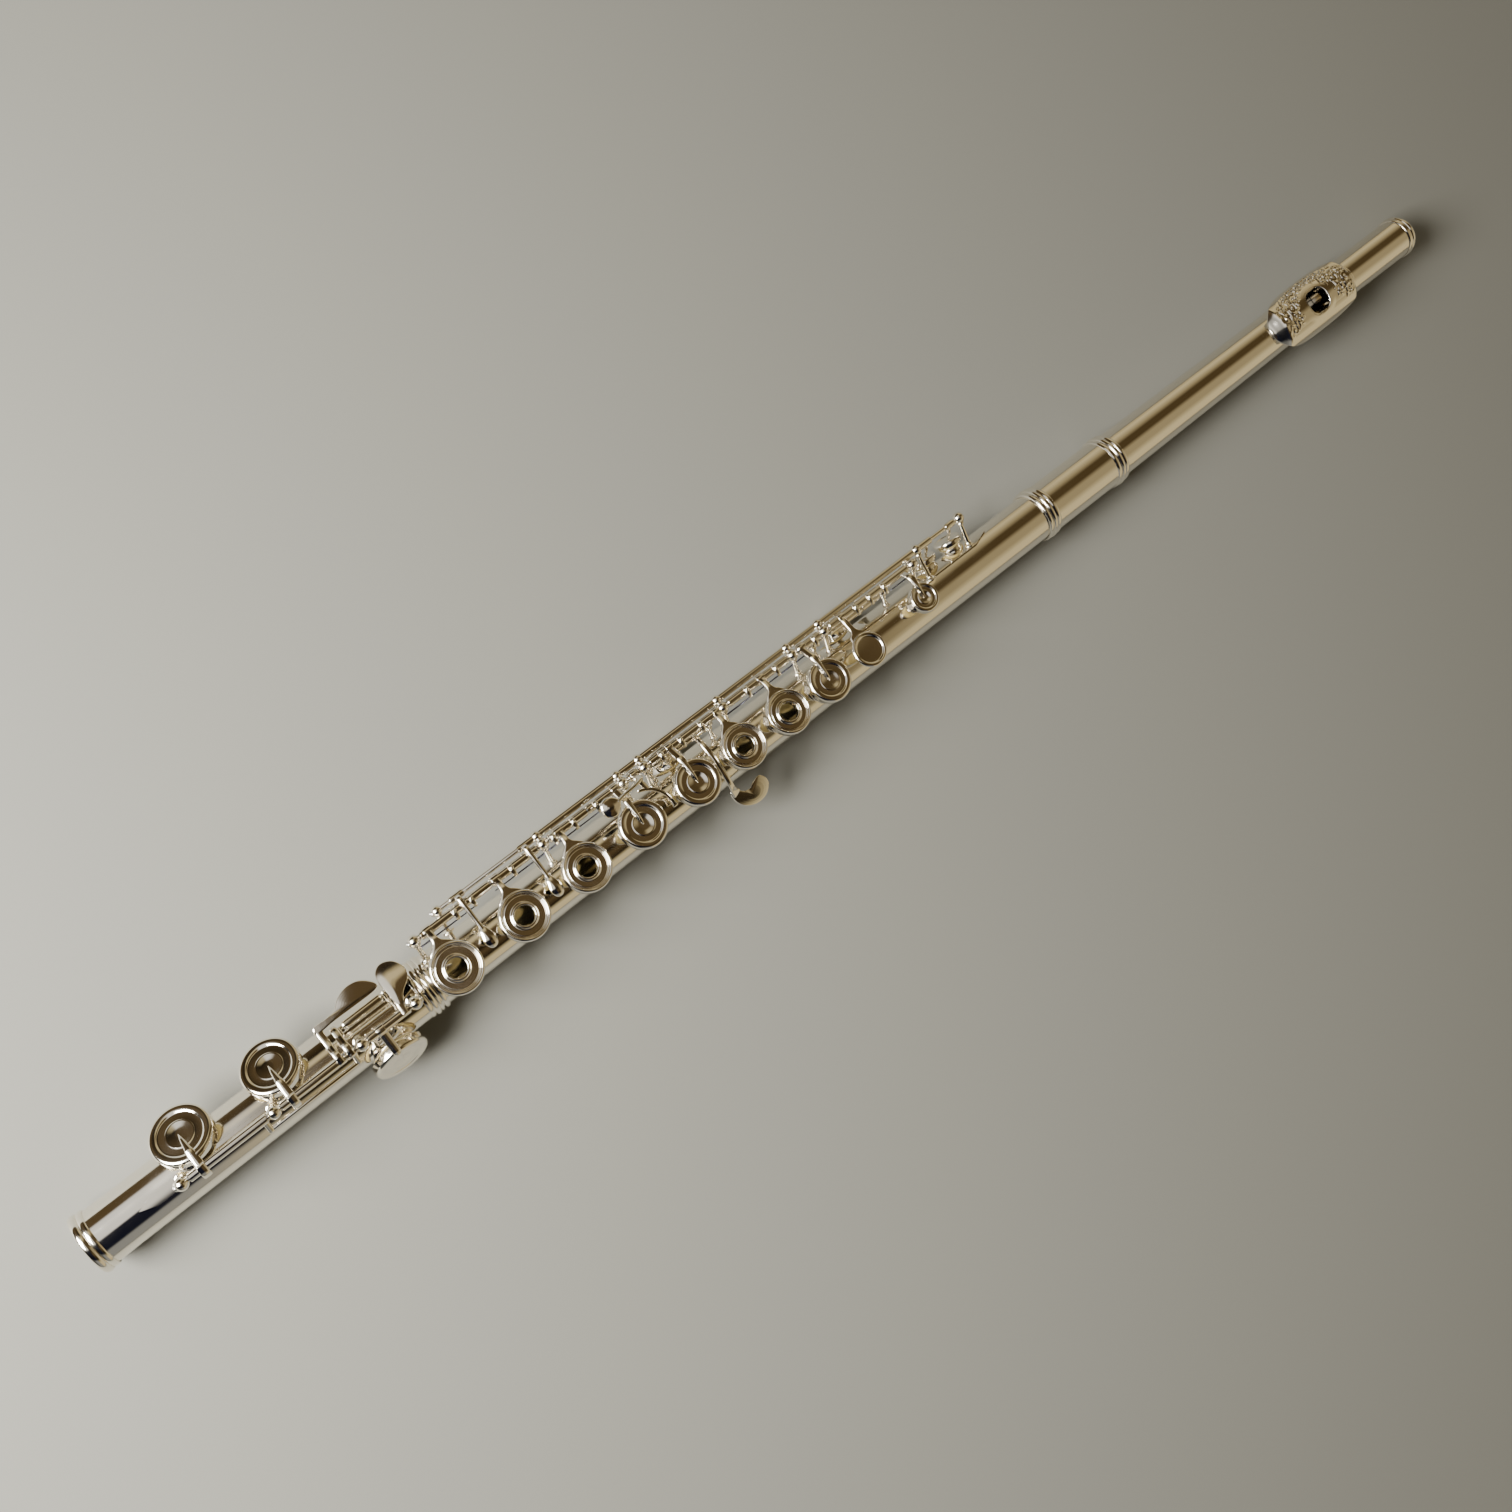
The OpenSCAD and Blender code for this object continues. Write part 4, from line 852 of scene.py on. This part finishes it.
def c_key():
    """First-finger touch, and the small cup that it closes farther up."""
    touch_x, touch_r = 330.8, 6.9
    cup_x, cup_y, cup_r = 362.4, 2.9, 6.0
    h = SMALL_CUP_H + 0.6
    bm = bmesh.new()
    main_tube(bm, 324.6, 365.4)
    main_collar(bm, touch_x, 2.8)
    round_touch(bm, touch_r, top_cup_place(touch_x))
    spread_arm(bm, touch_x - 0.4, MAIN_Y, MAIN_Z, touch_r, MAIN_OPEN)
    closed_cup(bm, cup_r, top_cup_place(cup_x, cup_y), h, 2)
    stations = [
        (cup_x, cup_y, PAD_Z + h - 0.2, 0.4, 0.5), (cup_x, cup_y + 3, PAD_Z + h + 0.35, 1.4, 1.1),
        (cup_x, cup_y + 6.5, PAD_Z + h + 0.5, 2.5, 1.4), (cup_x, MAIN_Y - 3.4, PAD_Z + h + 0.1, 3.2, 1.6),
        (cup_x, MAIN_Y - 1.2, MAIN_Z + 1.4, 3.2, 1.6)]
    swept(bm, stations, MAIN_OPEN, square=2.2, sides=24)
    main_lugs(bm, (337.5, 344.6, 352))
    piece("c_key", bm)
    pad("c_pads", [(top_cup_place(cup_x, cup_y), cup_r - CUP_OVER_PAD, 2, 0),
                   (MAIN_OPEN @ at(touch_x, 0, PAD_Z + 0.9), 4.4, 1.5, 0)])


# ---- keys on the rods' side ----

def side_key(bm, hole_x, r, place=Matrix()):
    """A cup on the rods' side with its pointed arm down from the side rod."""
    local_y, local_z = seen_from(SIDE_DEG, SIDE_Y, SIDE_Z)
    turned = place @ facing(SIDE_DEG)
    closed_cup(bm, r, turned @ at(hole_x, 0, PAD_Z))
    pointed_arm(bm, hole_x, local_y, local_z, PAD_Z + CUP_H - 0.4, turned, -1.2)


def g_sharp_key():
    x, r = middle("g_sharp_pad"), half_length("g_sharp_pad") + CUP_OVER_PAD
    lever_x = 257.7
    bm = bmesh.new()
    key_tube(bm, 239, 262.2, SIDE_Y, SIDE_Z, SIDE_TUBE_R, SIDE_BORE)
    side_key(bm, x, r)
    swept(bm, [(lever_x, SIDE_Y - 0.2, SIDE_Z + 0.9, 2.2, 1.4), (lever_x, 11.6, 11.2, 2.2, 1.4),
               (lever_x, 8.2, 12.9, 2.2, 1.4), (lever_x, 3, 13.65, 2.2, 1.4), (lever_x, -3, 13.5, 2.2, 1.4),
               (lever_x, -8, 12, 2.3, 1.4), (lever_x + 0.4, -11, 9.7, 2.9, 1.4),
               (lever_x + 1, -12.6, 8.6, 4, 1.4)], square=3)
    blade = round_outline([
        (256.6, -11.4), (258.6, -11), (260.2, -12.4), (262, -13.9), (264.2, -14.4), (266.4, -13.3),
        (269.6, -12.5), (271.8, -14.6), (271.7, -17.8), (268.6, -20.6), (264, -21), (259.6, -19),
        (256.9, -15.4)])
    pillow(bm, blade, (264.2, -17), 1.2, lambda px, py: 6.1 + 0.32 * (py + 18) + 0.03 * max(0, py + 14) ** 2,
           dome=0.45, edge=0.55)
    piece("g_sharp_key", bm)
    pad("g_sharp_pad", [(facing(SIDE_DEG) @ at(x, 0, PAD_Z), r - CUP_OVER_PAD, PAD_H, 0)])


THUMB_OPEN = about(SIDE_Y, SIDE_Z, travel("thumb_b"))


def thumb_keys():
    x, r = middle("thumb_b_pad"), half_length("thumb_b_pad") + CUP_OVER_PAD
    bm = bmesh.new()
    key_tube(bm, 325, 341.4, SIDE_Y, SIDE_Z, SIDE_TUBE_R, SIDE_BORE, THUMB_OPEN)
    side_key(bm, x, r, THUMB_OPEN)
    piece("thumb_b_key", bm)
    pad("thumb_b_pad", [(THUMB_OPEN @ facing(SIDE_DEG) @ at(x, 0, PAD_Z), r - CUP_OVER_PAD, PAD_H, 0)])
    bm = bmesh.new()
    key_tube(bm, 341.8, 350.2, SIDE_Y, SIDE_Z, SIDE_TUBE_R, SIDE_BORE, THUMB_OPEN)
    swept(bm, [(345, SIDE_Y + 0.8, SIDE_Z - 0.6, 2.4, 1.3), (345, 16, 5.4, 2.8, 1.3),
               (344.9, 16.6, 2, 4.6, 1.2), (344.8, 16.4, -2.4, 6.2, 1.1),
               (344.8, 16, -6, 5.8, 1.1), (344.8, 15.6, -7.6, 4, 1.0)],
          THUMB_OPEN, up=(0, 1, 0), square=2.8)
    piece("thumb_b_flat_lever", bm)


def side_b_flat_lever():
    """The lever beside the right hand's first finger, with its arm curved round the cup."""
    bar_z = 18.9
    bm = bmesh.new()
    key_tube(bm, 227.8, 232.4, MAIN_Y, MAIN_Z, KEY_TUBE_R, BORE)
    collar(bm, 230.1, MAIN_Y, MAIN_Z, KEY_TUBE_R + 0.3, 2.8, BORE)
    swept(bm, [(230.2, 15.6, MAIN_Z + 1.2, 2.6, 1.5), (230.2, 15, 15.8, 2.6, 1.5),
               (229.8, 14.2, 17.8, 2.6, 1.5), (227.5, 13.6, bar_z, 2.3, 1.3),
               (222.5, 13.3, bar_z + 0.1, 2.1, 1.2), (218.4, 12.7, bar_z + 0.1, 2.6, 1.3)],
          up=(0, 1, 0.2), square=2.8)
    touch = round_outline([(211.4, 12.6), (212.2, 9.7), (215, 8.6), (217.6, 9.9), (219.2, 12.4), (217.8, 15),
                           (215, 16.2), (212.3, 15.2)])
    pillow(bm, touch, (215.1, 12.4), 1.3, lambda px, py: bar_z + 0.3, dome=0.9, edge=0.6)
    bend_r = 10.7
    bend = []
    for deg, wide in ((-8, 2.4), (10, 1.5), (28, 1.5), (46, 1.5), (62, 1.5), (76, 1.2)):
        turn = math.radians(deg)
        bend.append((225.5 + bend_r * math.cos(turn), bend_r * math.sin(turn), 13.1, wide, 1.3))
    swept(bm, bend, square=2.8)
    swept(bm, [(231.2, 9.3, 13.2, 1.9, 1.2), (230.6, 12, 13.5, 2.2, 1.3), (230.2, 14.6, 13.3, 2.4, 1.5)],
          square=2.8)
    piece("side_b_flat_lever", bm)


# ---- trill keys ----

TRILL_LOCAL = seen_from(TRILL_DEG, TRILL_Y, TRILL_Z)


def trill_touch(bm, x):
    """The egg-shaped finger touch over the tube and the arm that carries it from the trill rod."""
    arm_z = 15.0
    swept(bm, [(x, TRILL_Y - 0.1, TRILL_Z + 1, 2, 1.4), (x, TRILL_Y - 0.5, TRILL_Z + 3.2, 2, 1.4),
               (x, TRILL_Y - 2, arm_z + 0.1, 2, 1.3), (x, 13.6, arm_z + 0.45, 1.9, 1.2),
               (x, 9.5, arm_z + 0.6, 1.7, 1.2), (x, 6, arm_z + 0.75, 1.8, 1.3),
               (x, 4.2, arm_z + 0.75, 2.6, 1.4)], square=2.6)
    egg = round_outline([(x - 0.9, 6.6), (x + 0.9, 6.6), (x + 1.9, 4.2), (x + 2.5, 1.2), (x + 1.6, -1.2),
                         (x, -2), (x - 1.6, -1.2), (x - 2.5, 1.2), (x - 1.9, 4.2)], 6)
    pillow(bm, egg, (x, 1.2), 1.3, lambda px, py: arm_z + 0.95 - 0.035 * (py - 1.5) ** 2, dome=0.95, edge=0.7)


def trill_cup(bm, x, r, arm_x):
    turned = facing(TRILL_DEG)
    closed_cup(bm, r, turned @ at(x, 0, PAD_Z), SMALL_CUP_H, SMALL_PAD_H)
    local_y, local_z = TRILL_LOCAL
    top = PAD_Z + SMALL_CUP_H - 0.3
    swept(bm, [(arm_x, 0.2, top, 0.5, 0.5), (arm_x, -2, top + 0.5, 1.2, 1.0),
               (arm_x, local_y * 0.62, (top + local_z) / 2 - 0.2, 1.9, 1.4),
               (arm_x, local_y + 0.9, local_z - 0.9, 2, 1.5)], turned, square=1.9)


def trill_key(node, touch_x, cup_x, arm_x):
    bm = bmesh.new()
    if node == "d_trill_key":
        key_tube(bm, 181.4, 381.2, TRILL_Y, TRILL_Z, TRILL_TUBE_R, TRILL_SHAFT_R + 0.05)
    else:
        rod(bm, 145.7, 398.4, TRILL_Y, TRILL_Z, TRILL_SHAFT_R)
        collar(bm, touch_x, TRILL_Y, TRILL_Z, TRILL_TUBE_R, 5.5, 0.3)
        collar(bm, arm_x, TRILL_Y, TRILL_Z, TRILL_TUBE_R, 4.5, 0.3)
    trill_touch(bm, touch_x)
    trill_cup(bm, cup_x, 5.8, arm_x)
    piece(node, bm)
    pad(node.replace("key", "pads"), [(facing(TRILL_DEG) @ at(cup_x, 0, PAD_Z), 5.25, SMALL_PAD_H, 0),
                                      (at(touch_x, 4.2, 13.4), 1.9, 1.75, 0)])


# ---- foot joint ----

FOOT_OPEN = about(FOOT_Y, FOOT_Z, travel("low_c"))
FOOT_LOCAL = seen_from(FOOT_DEG, FOOT_Y, FOOT_Z)


def foot_end_ring():
    rings_piece("foot_end_ring", [*bead(0, 2.7, 10.2, 10.9, 10), *bead(2.8, 4.9, 10.25, 10.6),
                                  (RING_BORE, 4.9), (RING_BORE, 0)])


def foot_socket():
    bore, wall, step_x = 9.95, 10.35, 117.8
    first, last = span("foot_socket")
    rings_piece("foot_socket", [(wall, first), (wall, 125.6), *bead(125.6, 127.3, wall, 10.7, 6),
                                *bead(127.4, 129.6, wall, 11, 8), *bead(129.6, last, wall, 10.75, 6),
                                (bore, last), (bore, step_x), (9.88, step_x), (9.88, first)])


def tenon_ring():
    first, last = span("tenon_ring")
    rings_piece("tenon_ring", [*bead(first, last, 10.3, 10.75), (RING_BORE, last), (RING_BORE, first)])


def heel(bm, x):
    """The stop behind a foot key's arm, on the far side of the rod."""
    swept(bm, [(x, 1.2, FOOT_Z + 1.5, 3, 1.5), (x, -1.2, FOOT_Z + 1.3, 3, 1.5),
               (x, -2.9, FOOT_Z + 0.1, 3, 1.4)], FOOT_OPEN, square=3.4)


def foot_cup(bm, x, r, arm_x):
    turned = FOOT_OPEN @ facing(FOOT_DEG)
    closed_cup(bm, r, turned @ at(x, 0, PAD_Z))
    pointed_arm(bm, arm_x, *FOOT_LOCAL, PAD_Z + CUP_H - 0.3, turned)


def foot_pad(node):
    place = FOOT_OPEN @ facing(FOOT_DEG) @ at(middle(node), 0, PAD_Z)
    pad(node, [(place, half_length(node), PAD_H, 0)])


ROLLER_LINE = FOOT_OPEN @ at(0, 7.6, 14) @ ALONG


def foot_tube_and_collar(bm, first, last, x, place=Matrix()):
    key_tube(bm, first, last, FOOT_Y, FOOT_Z, KEY_TUBE_R, BORE, place)
    collar(bm, x, FOOT_Y, FOOT_Z, COLLAR_R, 3, BORE, place)


def low_c_key():
    """Low C: cup, a bridge past its neighbour, the touch arm and the roller's cradle."""
    x = middle("low_c_pad")
    arm_x, touch_x = x - 0.5, 97.7
    bridge_y, bridge_z = -4.4, 17.4
    bm = bmesh.new()
    foot_tube_and_collar(bm, 37.1, 65.6, arm_x, FOOT_OPEN)
    key_tube(bm, 95.8, 99.3, FOOT_Y, FOOT_Z, KEY_TUBE_R, BORE, FOOT_OPEN)
    foot_cup(bm, x, 10.4, arm_x)
    heel(bm, arm_x)
    for spot in (64.4, 98.1):
        swept(bm, [(spot, -0.6, FOOT_Z - 0.2, 2.1, 2.4), (spot, bridge_y, bridge_z, 2.1, 2)],
              FOOT_OPEN, square=3)
    rod_line = FOOT_OPEN @ at(0, bridge_y, bridge_z) @ ALONG
    spun(bm, softened([(0, 63.4), (0.85, 63.4, 0.3), (0.85, 99.2, 0.3), (0, 99.2)]), rod_line, steps=28)
    swept(bm, [(touch_x, -0.4, FOOT_Z + 1.3, 2.5, 1.2), (touch_x, 2.6, FOOT_Z + 0.6, 2.5, 1.3),
               (touch_x, 6, 16.3, 2.5, 1.3), (touch_x, 8.4, 14.4, 2.5, 1.4),
               (touch_x, 8.6, 13.2, 2.4, 1.4)], FOOT_OPEN, square=3.4)
    swept(bm, [(97.4, 4.9, 13.4, 1.6, 1.1), (103, 4.9, 13.4, 1.6, 1.1), (112, 4.9, 13.4, 1.6, 1.1),
               (117.3, 4.9, 13.4, 1.6, 1.1)], FOOT_OPEN, square=3.4)
    swept(bm, [(117.05, 4.6, 13.5, 1.1, 1.7), (117.05, 6.4, 13.7, 1.1, 2), (117.05, 8.3, 14, 1.1, 2)],
          FOOT_OPEN, square=3)
    swept(bm, [(99.1, 4.6, 13.5, 1.1, 1.6), (99.1, 7.6, 13.9, 1.2, 1.9)], FOOT_OPEN, square=3)
    spun(bm, [(0, 98.4), (0.7, 98.4), (0.7, 117), (0, 117)], ROLLER_LINE, steps=24)
    piece("low_c_key", bm)
    foot_pad("low_c_pad")


def c_roller():
    bm = bmesh.new()
    outline = softened([(0.75, 100.6), (1.3, 100.6, 0.2), (1.65, 101.2, 0.3), (1.65, 115.4, 0.3),
                        (1.3, 116, 0.2), (0.75, 116)])
    spun(bm, outline, ROLLER_LINE, steps=40, closed=True)
    piece("c_roller", bm)


def low_c_sharp_key():
    x = middle("low_c_sharp_pad")
    arm_x, touch_x = x - 0.3, 93.7
    bm = bmesh.new()
    foot_tube_and_collar(bm, 71, 95.4, arm_x, FOOT_OPEN)
    foot_cup(bm, x, 10.1, arm_x)
    heel(bm, arm_x)
    swept(bm, [(touch_x, -0.4, FOOT_Z + 1.3, 2.4, 1.2), (touch_x, 2.6, FOOT_Z + 0.7, 2.4, 1.3),
               (touch_x, 6, 16.6, 2.4, 1.3), (touch_x, 9.6, 14.9, 2.5, 1.3), (94, 12, 14.3, 2.6, 1.2)],
          FOOT_OPEN, square=3.4)
    paddle = round_outline([
        (92.9, 10.8), (99.5, 11), (108, 10.9), (114.5, 10.9), (117, 11.5), (116.8, 13.4), (113.6, 16.4),
        (109, 17.3), (104.6, 16), (101.4, 13.6), (97.5, 13.1), (92.9, 13.1)])
    pillow(bm, paddle, (107, 12.6), 1.2,
           lambda px, py: 14.7 - 0.18 * (py - 10) - 0.012 * (py - 10) ** 2, FOOT_OPEN, dome=0.25, edge=0.6)
    piece("low_c_sharp_key", bm)
    foot_pad("low_c_sharp_pad")


def foot_d_sharp_key():
    x, r = 109.7, 10.1
    bm = bmesh.new()
    arm_x = x - 0.4
    foot_tube_and_collar(bm, 104.7, 120.6, arm_x)
    turned = facing(FOOT_FAR_DEG)
    closed_cup(bm, r, turned @ at(x, 0, PAD_Z))
    pointed_arm(bm, arm_x, *seen_from(FOOT_FAR_DEG, FOOT_Y, FOOT_Z), PAD_Z + CUP_H - 0.3, turned)
    swept(bm, [(118.8, -0.4, FOOT_Z + 1.2, 2.3, 1.2), (119, 2.2, FOOT_Z + 0.9, 2.4, 1.2),
               (119.6, 4.6, 18.7, 3, 1.2)], square=3.2)
    leaf = round_outline([(118.3, 1.6), (120, 1.8), (122.4, 5.4), (126.2, 8.2), (127.5, 11.6), (125.8, 15.4),
                          (122, 17.1), (118.8, 15.6), (117.8, 12), (117.9, 7)])
    pillow(bm, leaf, (121.8, 11.2), 1.2, lambda px, py: 19.2 - 0.018 * py * py, dome=0.5, edge=0.6)
    piece("foot_d_sharp_key", bm)
    pad("foot_d_sharp_pad", [(turned @ at(x, 0, PAD_Z), r - CUP_OVER_PAD, PAD_H, 0)])


# ---- build ----

for tube in ("head_tube", "lip_riser", "body_tube", "foot_tube"):
    polished_copy(tube)
polished_copy("main_rib", math.degrees(math.atan2(MAIN_Y, MAIN_Z)))
polished_copy("foot_rib", 6)
for hidden in ("stopper_cork", "stopper_rod", "stopper_plate", "main_steel", "side_steels", "foot_steel"):
    frame["nodes"][hidden].data.materials.clear()
    frame["nodes"][hidden].data.materials.append(FINISHES[SLOT_OF[hidden]])

barrel()
crown()
lip_plate()
main_posts()
trill_posts()
side_posts()
foot_posts()
pivot_screws()
foot_screws()
springs("needle_springs", 12.6, 9.7, ((135.3, 24), (189.5, -22), (189.5, 24), (225.2, -18), (272, 22),
                                      (306, -20), (306, 8), (368, -12)), 0)
springs("foot_springs", 0, 13, ((34.4, 24), (102, -25), (102, 13)), 0)
open_hole_key("d_key", 137.9, 166.6, (151.5, 158.6))
open_hole_key("e_key", 167, 186.9, (175.6,))
open_hole_key("f_key", 192.1, 208.6, (193.6, 202.5))
open_hole_key("a_key", 274.6, 303.4, (283, 297))
closed_key("f_sharp_key", 209, 222.6, (212.6,))
closed_key("b_flat_key", 308.6, 319.4, (316.4,))
g_keys()
c_key()
g_sharp_key()
thumb_keys()
side_b_flat_lever()
trill_key("d_trill_key", 183.7, 377.4, 379)
trill_key("d_sharp_trill_key", 155.4, 391.5, 391.5)
foot_end_ring()
foot_socket()
tenon_ring()
low_c_key()
c_roller()
low_c_sharp_key()
foot_d_sharp_key()


# ---- floor, light and camera ----

FLOOR_Z = -11.3 * MM


def floor():
    bm = bmesh.new()
    bmesh.ops.create_grid(bm, x_segments=1, y_segments=1, size=12)
    mesh = bpy.data.meshes.new("floor")
    bm.to_mesh(mesh)
    bm.free()
    obj = bpy.data.objects.new("floor", mesh)
    obj.location = (0.3, 0, FLOOR_Z)
    bpy.context.scene.collection.objects.link(obj)
    material, shader, _ = blank("matt_board")
    filled(shader, Base_Color=(0.19, 0.188, 0.163, 1), Roughness=0.7)
    mesh.materials.append(material)


def area_light(name, place, target, size, power, colour):
    data = bpy.data.lights.new(name, "AREA")
    data.shape = "RECTANGLE"
    data.size, data.size_y = size
    data.energy = power
    data.color = colour
    obj = bpy.data.objects.new(name, data)
    obj.location = place
    obj.rotation_euler = (Vector(target) - Vector(place)).to_track_quat("-Z", "Y").to_euler()
    bpy.context.scene.collection.objects.link(obj)


def ramp(tree, stops):
    """A colour ramp over an angle from -180 to 180 degrees."""
    node = tree.nodes.new("ShaderNodeValToRGB")
    node.color_ramp.elements[0].position = 0
    node.color_ramp.elements[1].position = 1
    for deg, colour in stops:
        element = node.color_ramp.elements.new((deg + 180) / 360)
        element.color = (*colour, 1)
    node.color_ramp.elements[0].color = (*stops[0][1], 1)
    node.color_ramp.elements[-1].color = (*stops[-1][1], 1)
    return node


def room():
    """Soft surroundings: a dim room over the foot, a warm one over the head."""
    world = bpy.data.worlds.new("room")
    world.use_nodes = True
    bpy.context.scene.world = world
    tree = world.node_tree
    link = tree.links.new
    place = tree.nodes.new("ShaderNodeTexCoord")
    split = tree.nodes.new("ShaderNodeSeparateXYZ")
    link(place.outputs["Generated"], split.inputs["Vector"])
    angle = tree.nodes.new("ShaderNodeMath")
    angle.operation = "ARCTAN2"
    link(split.outputs["Y"], angle.inputs[0])
    link(split.outputs["Z"], angle.inputs[1])
    part = tree.nodes.new("ShaderNodeMath")
    part.operation = "MULTIPLY_ADD"
    part.inputs[1].default_value = 1 / math.tau
    part.inputs[2].default_value = 0.5
    link(angle.outputs["Value"], part.inputs[0])
    grey, dark, white = (0.42, 0.42, 0.40), (0.012, 0.014, 0.03), (1.5, 1.46, 1.38)
    cream, brown, umber = (1.05, 0.87, 0.50), (0.15, 0.10, 0.045), (0.025, 0.017, 0.008)
    gold, bronze = (0.56, 0.45, 0.25), (0.12, 0.08, 0.033)
    foot_end = ramp(tree, [(-100, grey), (-56, grey), (-48, dark), (-6, dark), (-1, white), (50, white),
                           (58, brown), (100, brown)])
    keys = ramp(tree, [(-100, cream), (-66, cream), (-50, umber), (-26, brown), (-8, umber), (4, brown),
                       (26, brown), (36, cream), (44, cream), (54, umber), (100, brown)])
    head_end = ramp(tree, [(-100, cream), (-60, cream), (-34, gold), (-8, gold), (8, bronze), (34, bronze),
                           (52, gold), (74, cream), (100, gold)])
    colour = foot_end.outputs["Color"]
    link(part.outputs["Value"], foot_end.inputs["Fac"])
    for zone, first, last in ((keys, -0.13, -0.01), (head_end, 0.28, 0.5)):
        link(part.outputs["Value"], zone.inputs["Fac"])
        along = filled(tree.nodes.new("ShaderNodeMapRange"), From_Min=first, From_Max=last)
        along.interpolation_type = "SMOOTHSTEP"
        link(split.outputs["X"], along.inputs["Value"])
        mix = tree.nodes.new("ShaderNodeMix")
        mix.data_type = "RGBA"
        link(along.outputs["Result"], mix.inputs[0])
        link(colour, mix.inputs[6])
        link(zone.outputs["Color"], mix.inputs[7])
        colour = mix.outputs[2]
    behind = filled(tree.nodes.new("ShaderNodeMapRange"),
                    From_Min=-0.6, From_Max=-0.35, To_Min=0.22, To_Max=0.62)
    link(split.outputs["X"], behind.inputs["Value"])
    link(colour, tree.nodes["Background"].inputs["Color"])
    link(behind.outputs["Result"], tree.nodes["Background"].inputs["Strength"])


def camera():
    data = bpy.data.cameras.new("camera")
    data.lens = 35.97
    data.sensor_width = 36
    obj = bpy.data.objects.new("camera", data)
    right = Vector((0.74845, -0.57, 0.339))
    up = Vector((0.58233, 0.80945, 0.07534))
    back = right.cross(up).normalized()
    turn = Matrix((right.normalized(), up.normalized(), back)).transposed().to_4x4()
    obj.matrix_world = Matrix.Translation((0.0966, 0.0722, 0.5301)) @ turn
    bpy.context.scene.collection.objects.link(obj)
    bpy.context.scene.camera = obj


floor()
room()
area_light("window", (-0.42, 0.28, 0.5), (0.1, -0.02, 0), (0.45, 0.45), 33, (1.0, 0.985, 0.95))
camera()
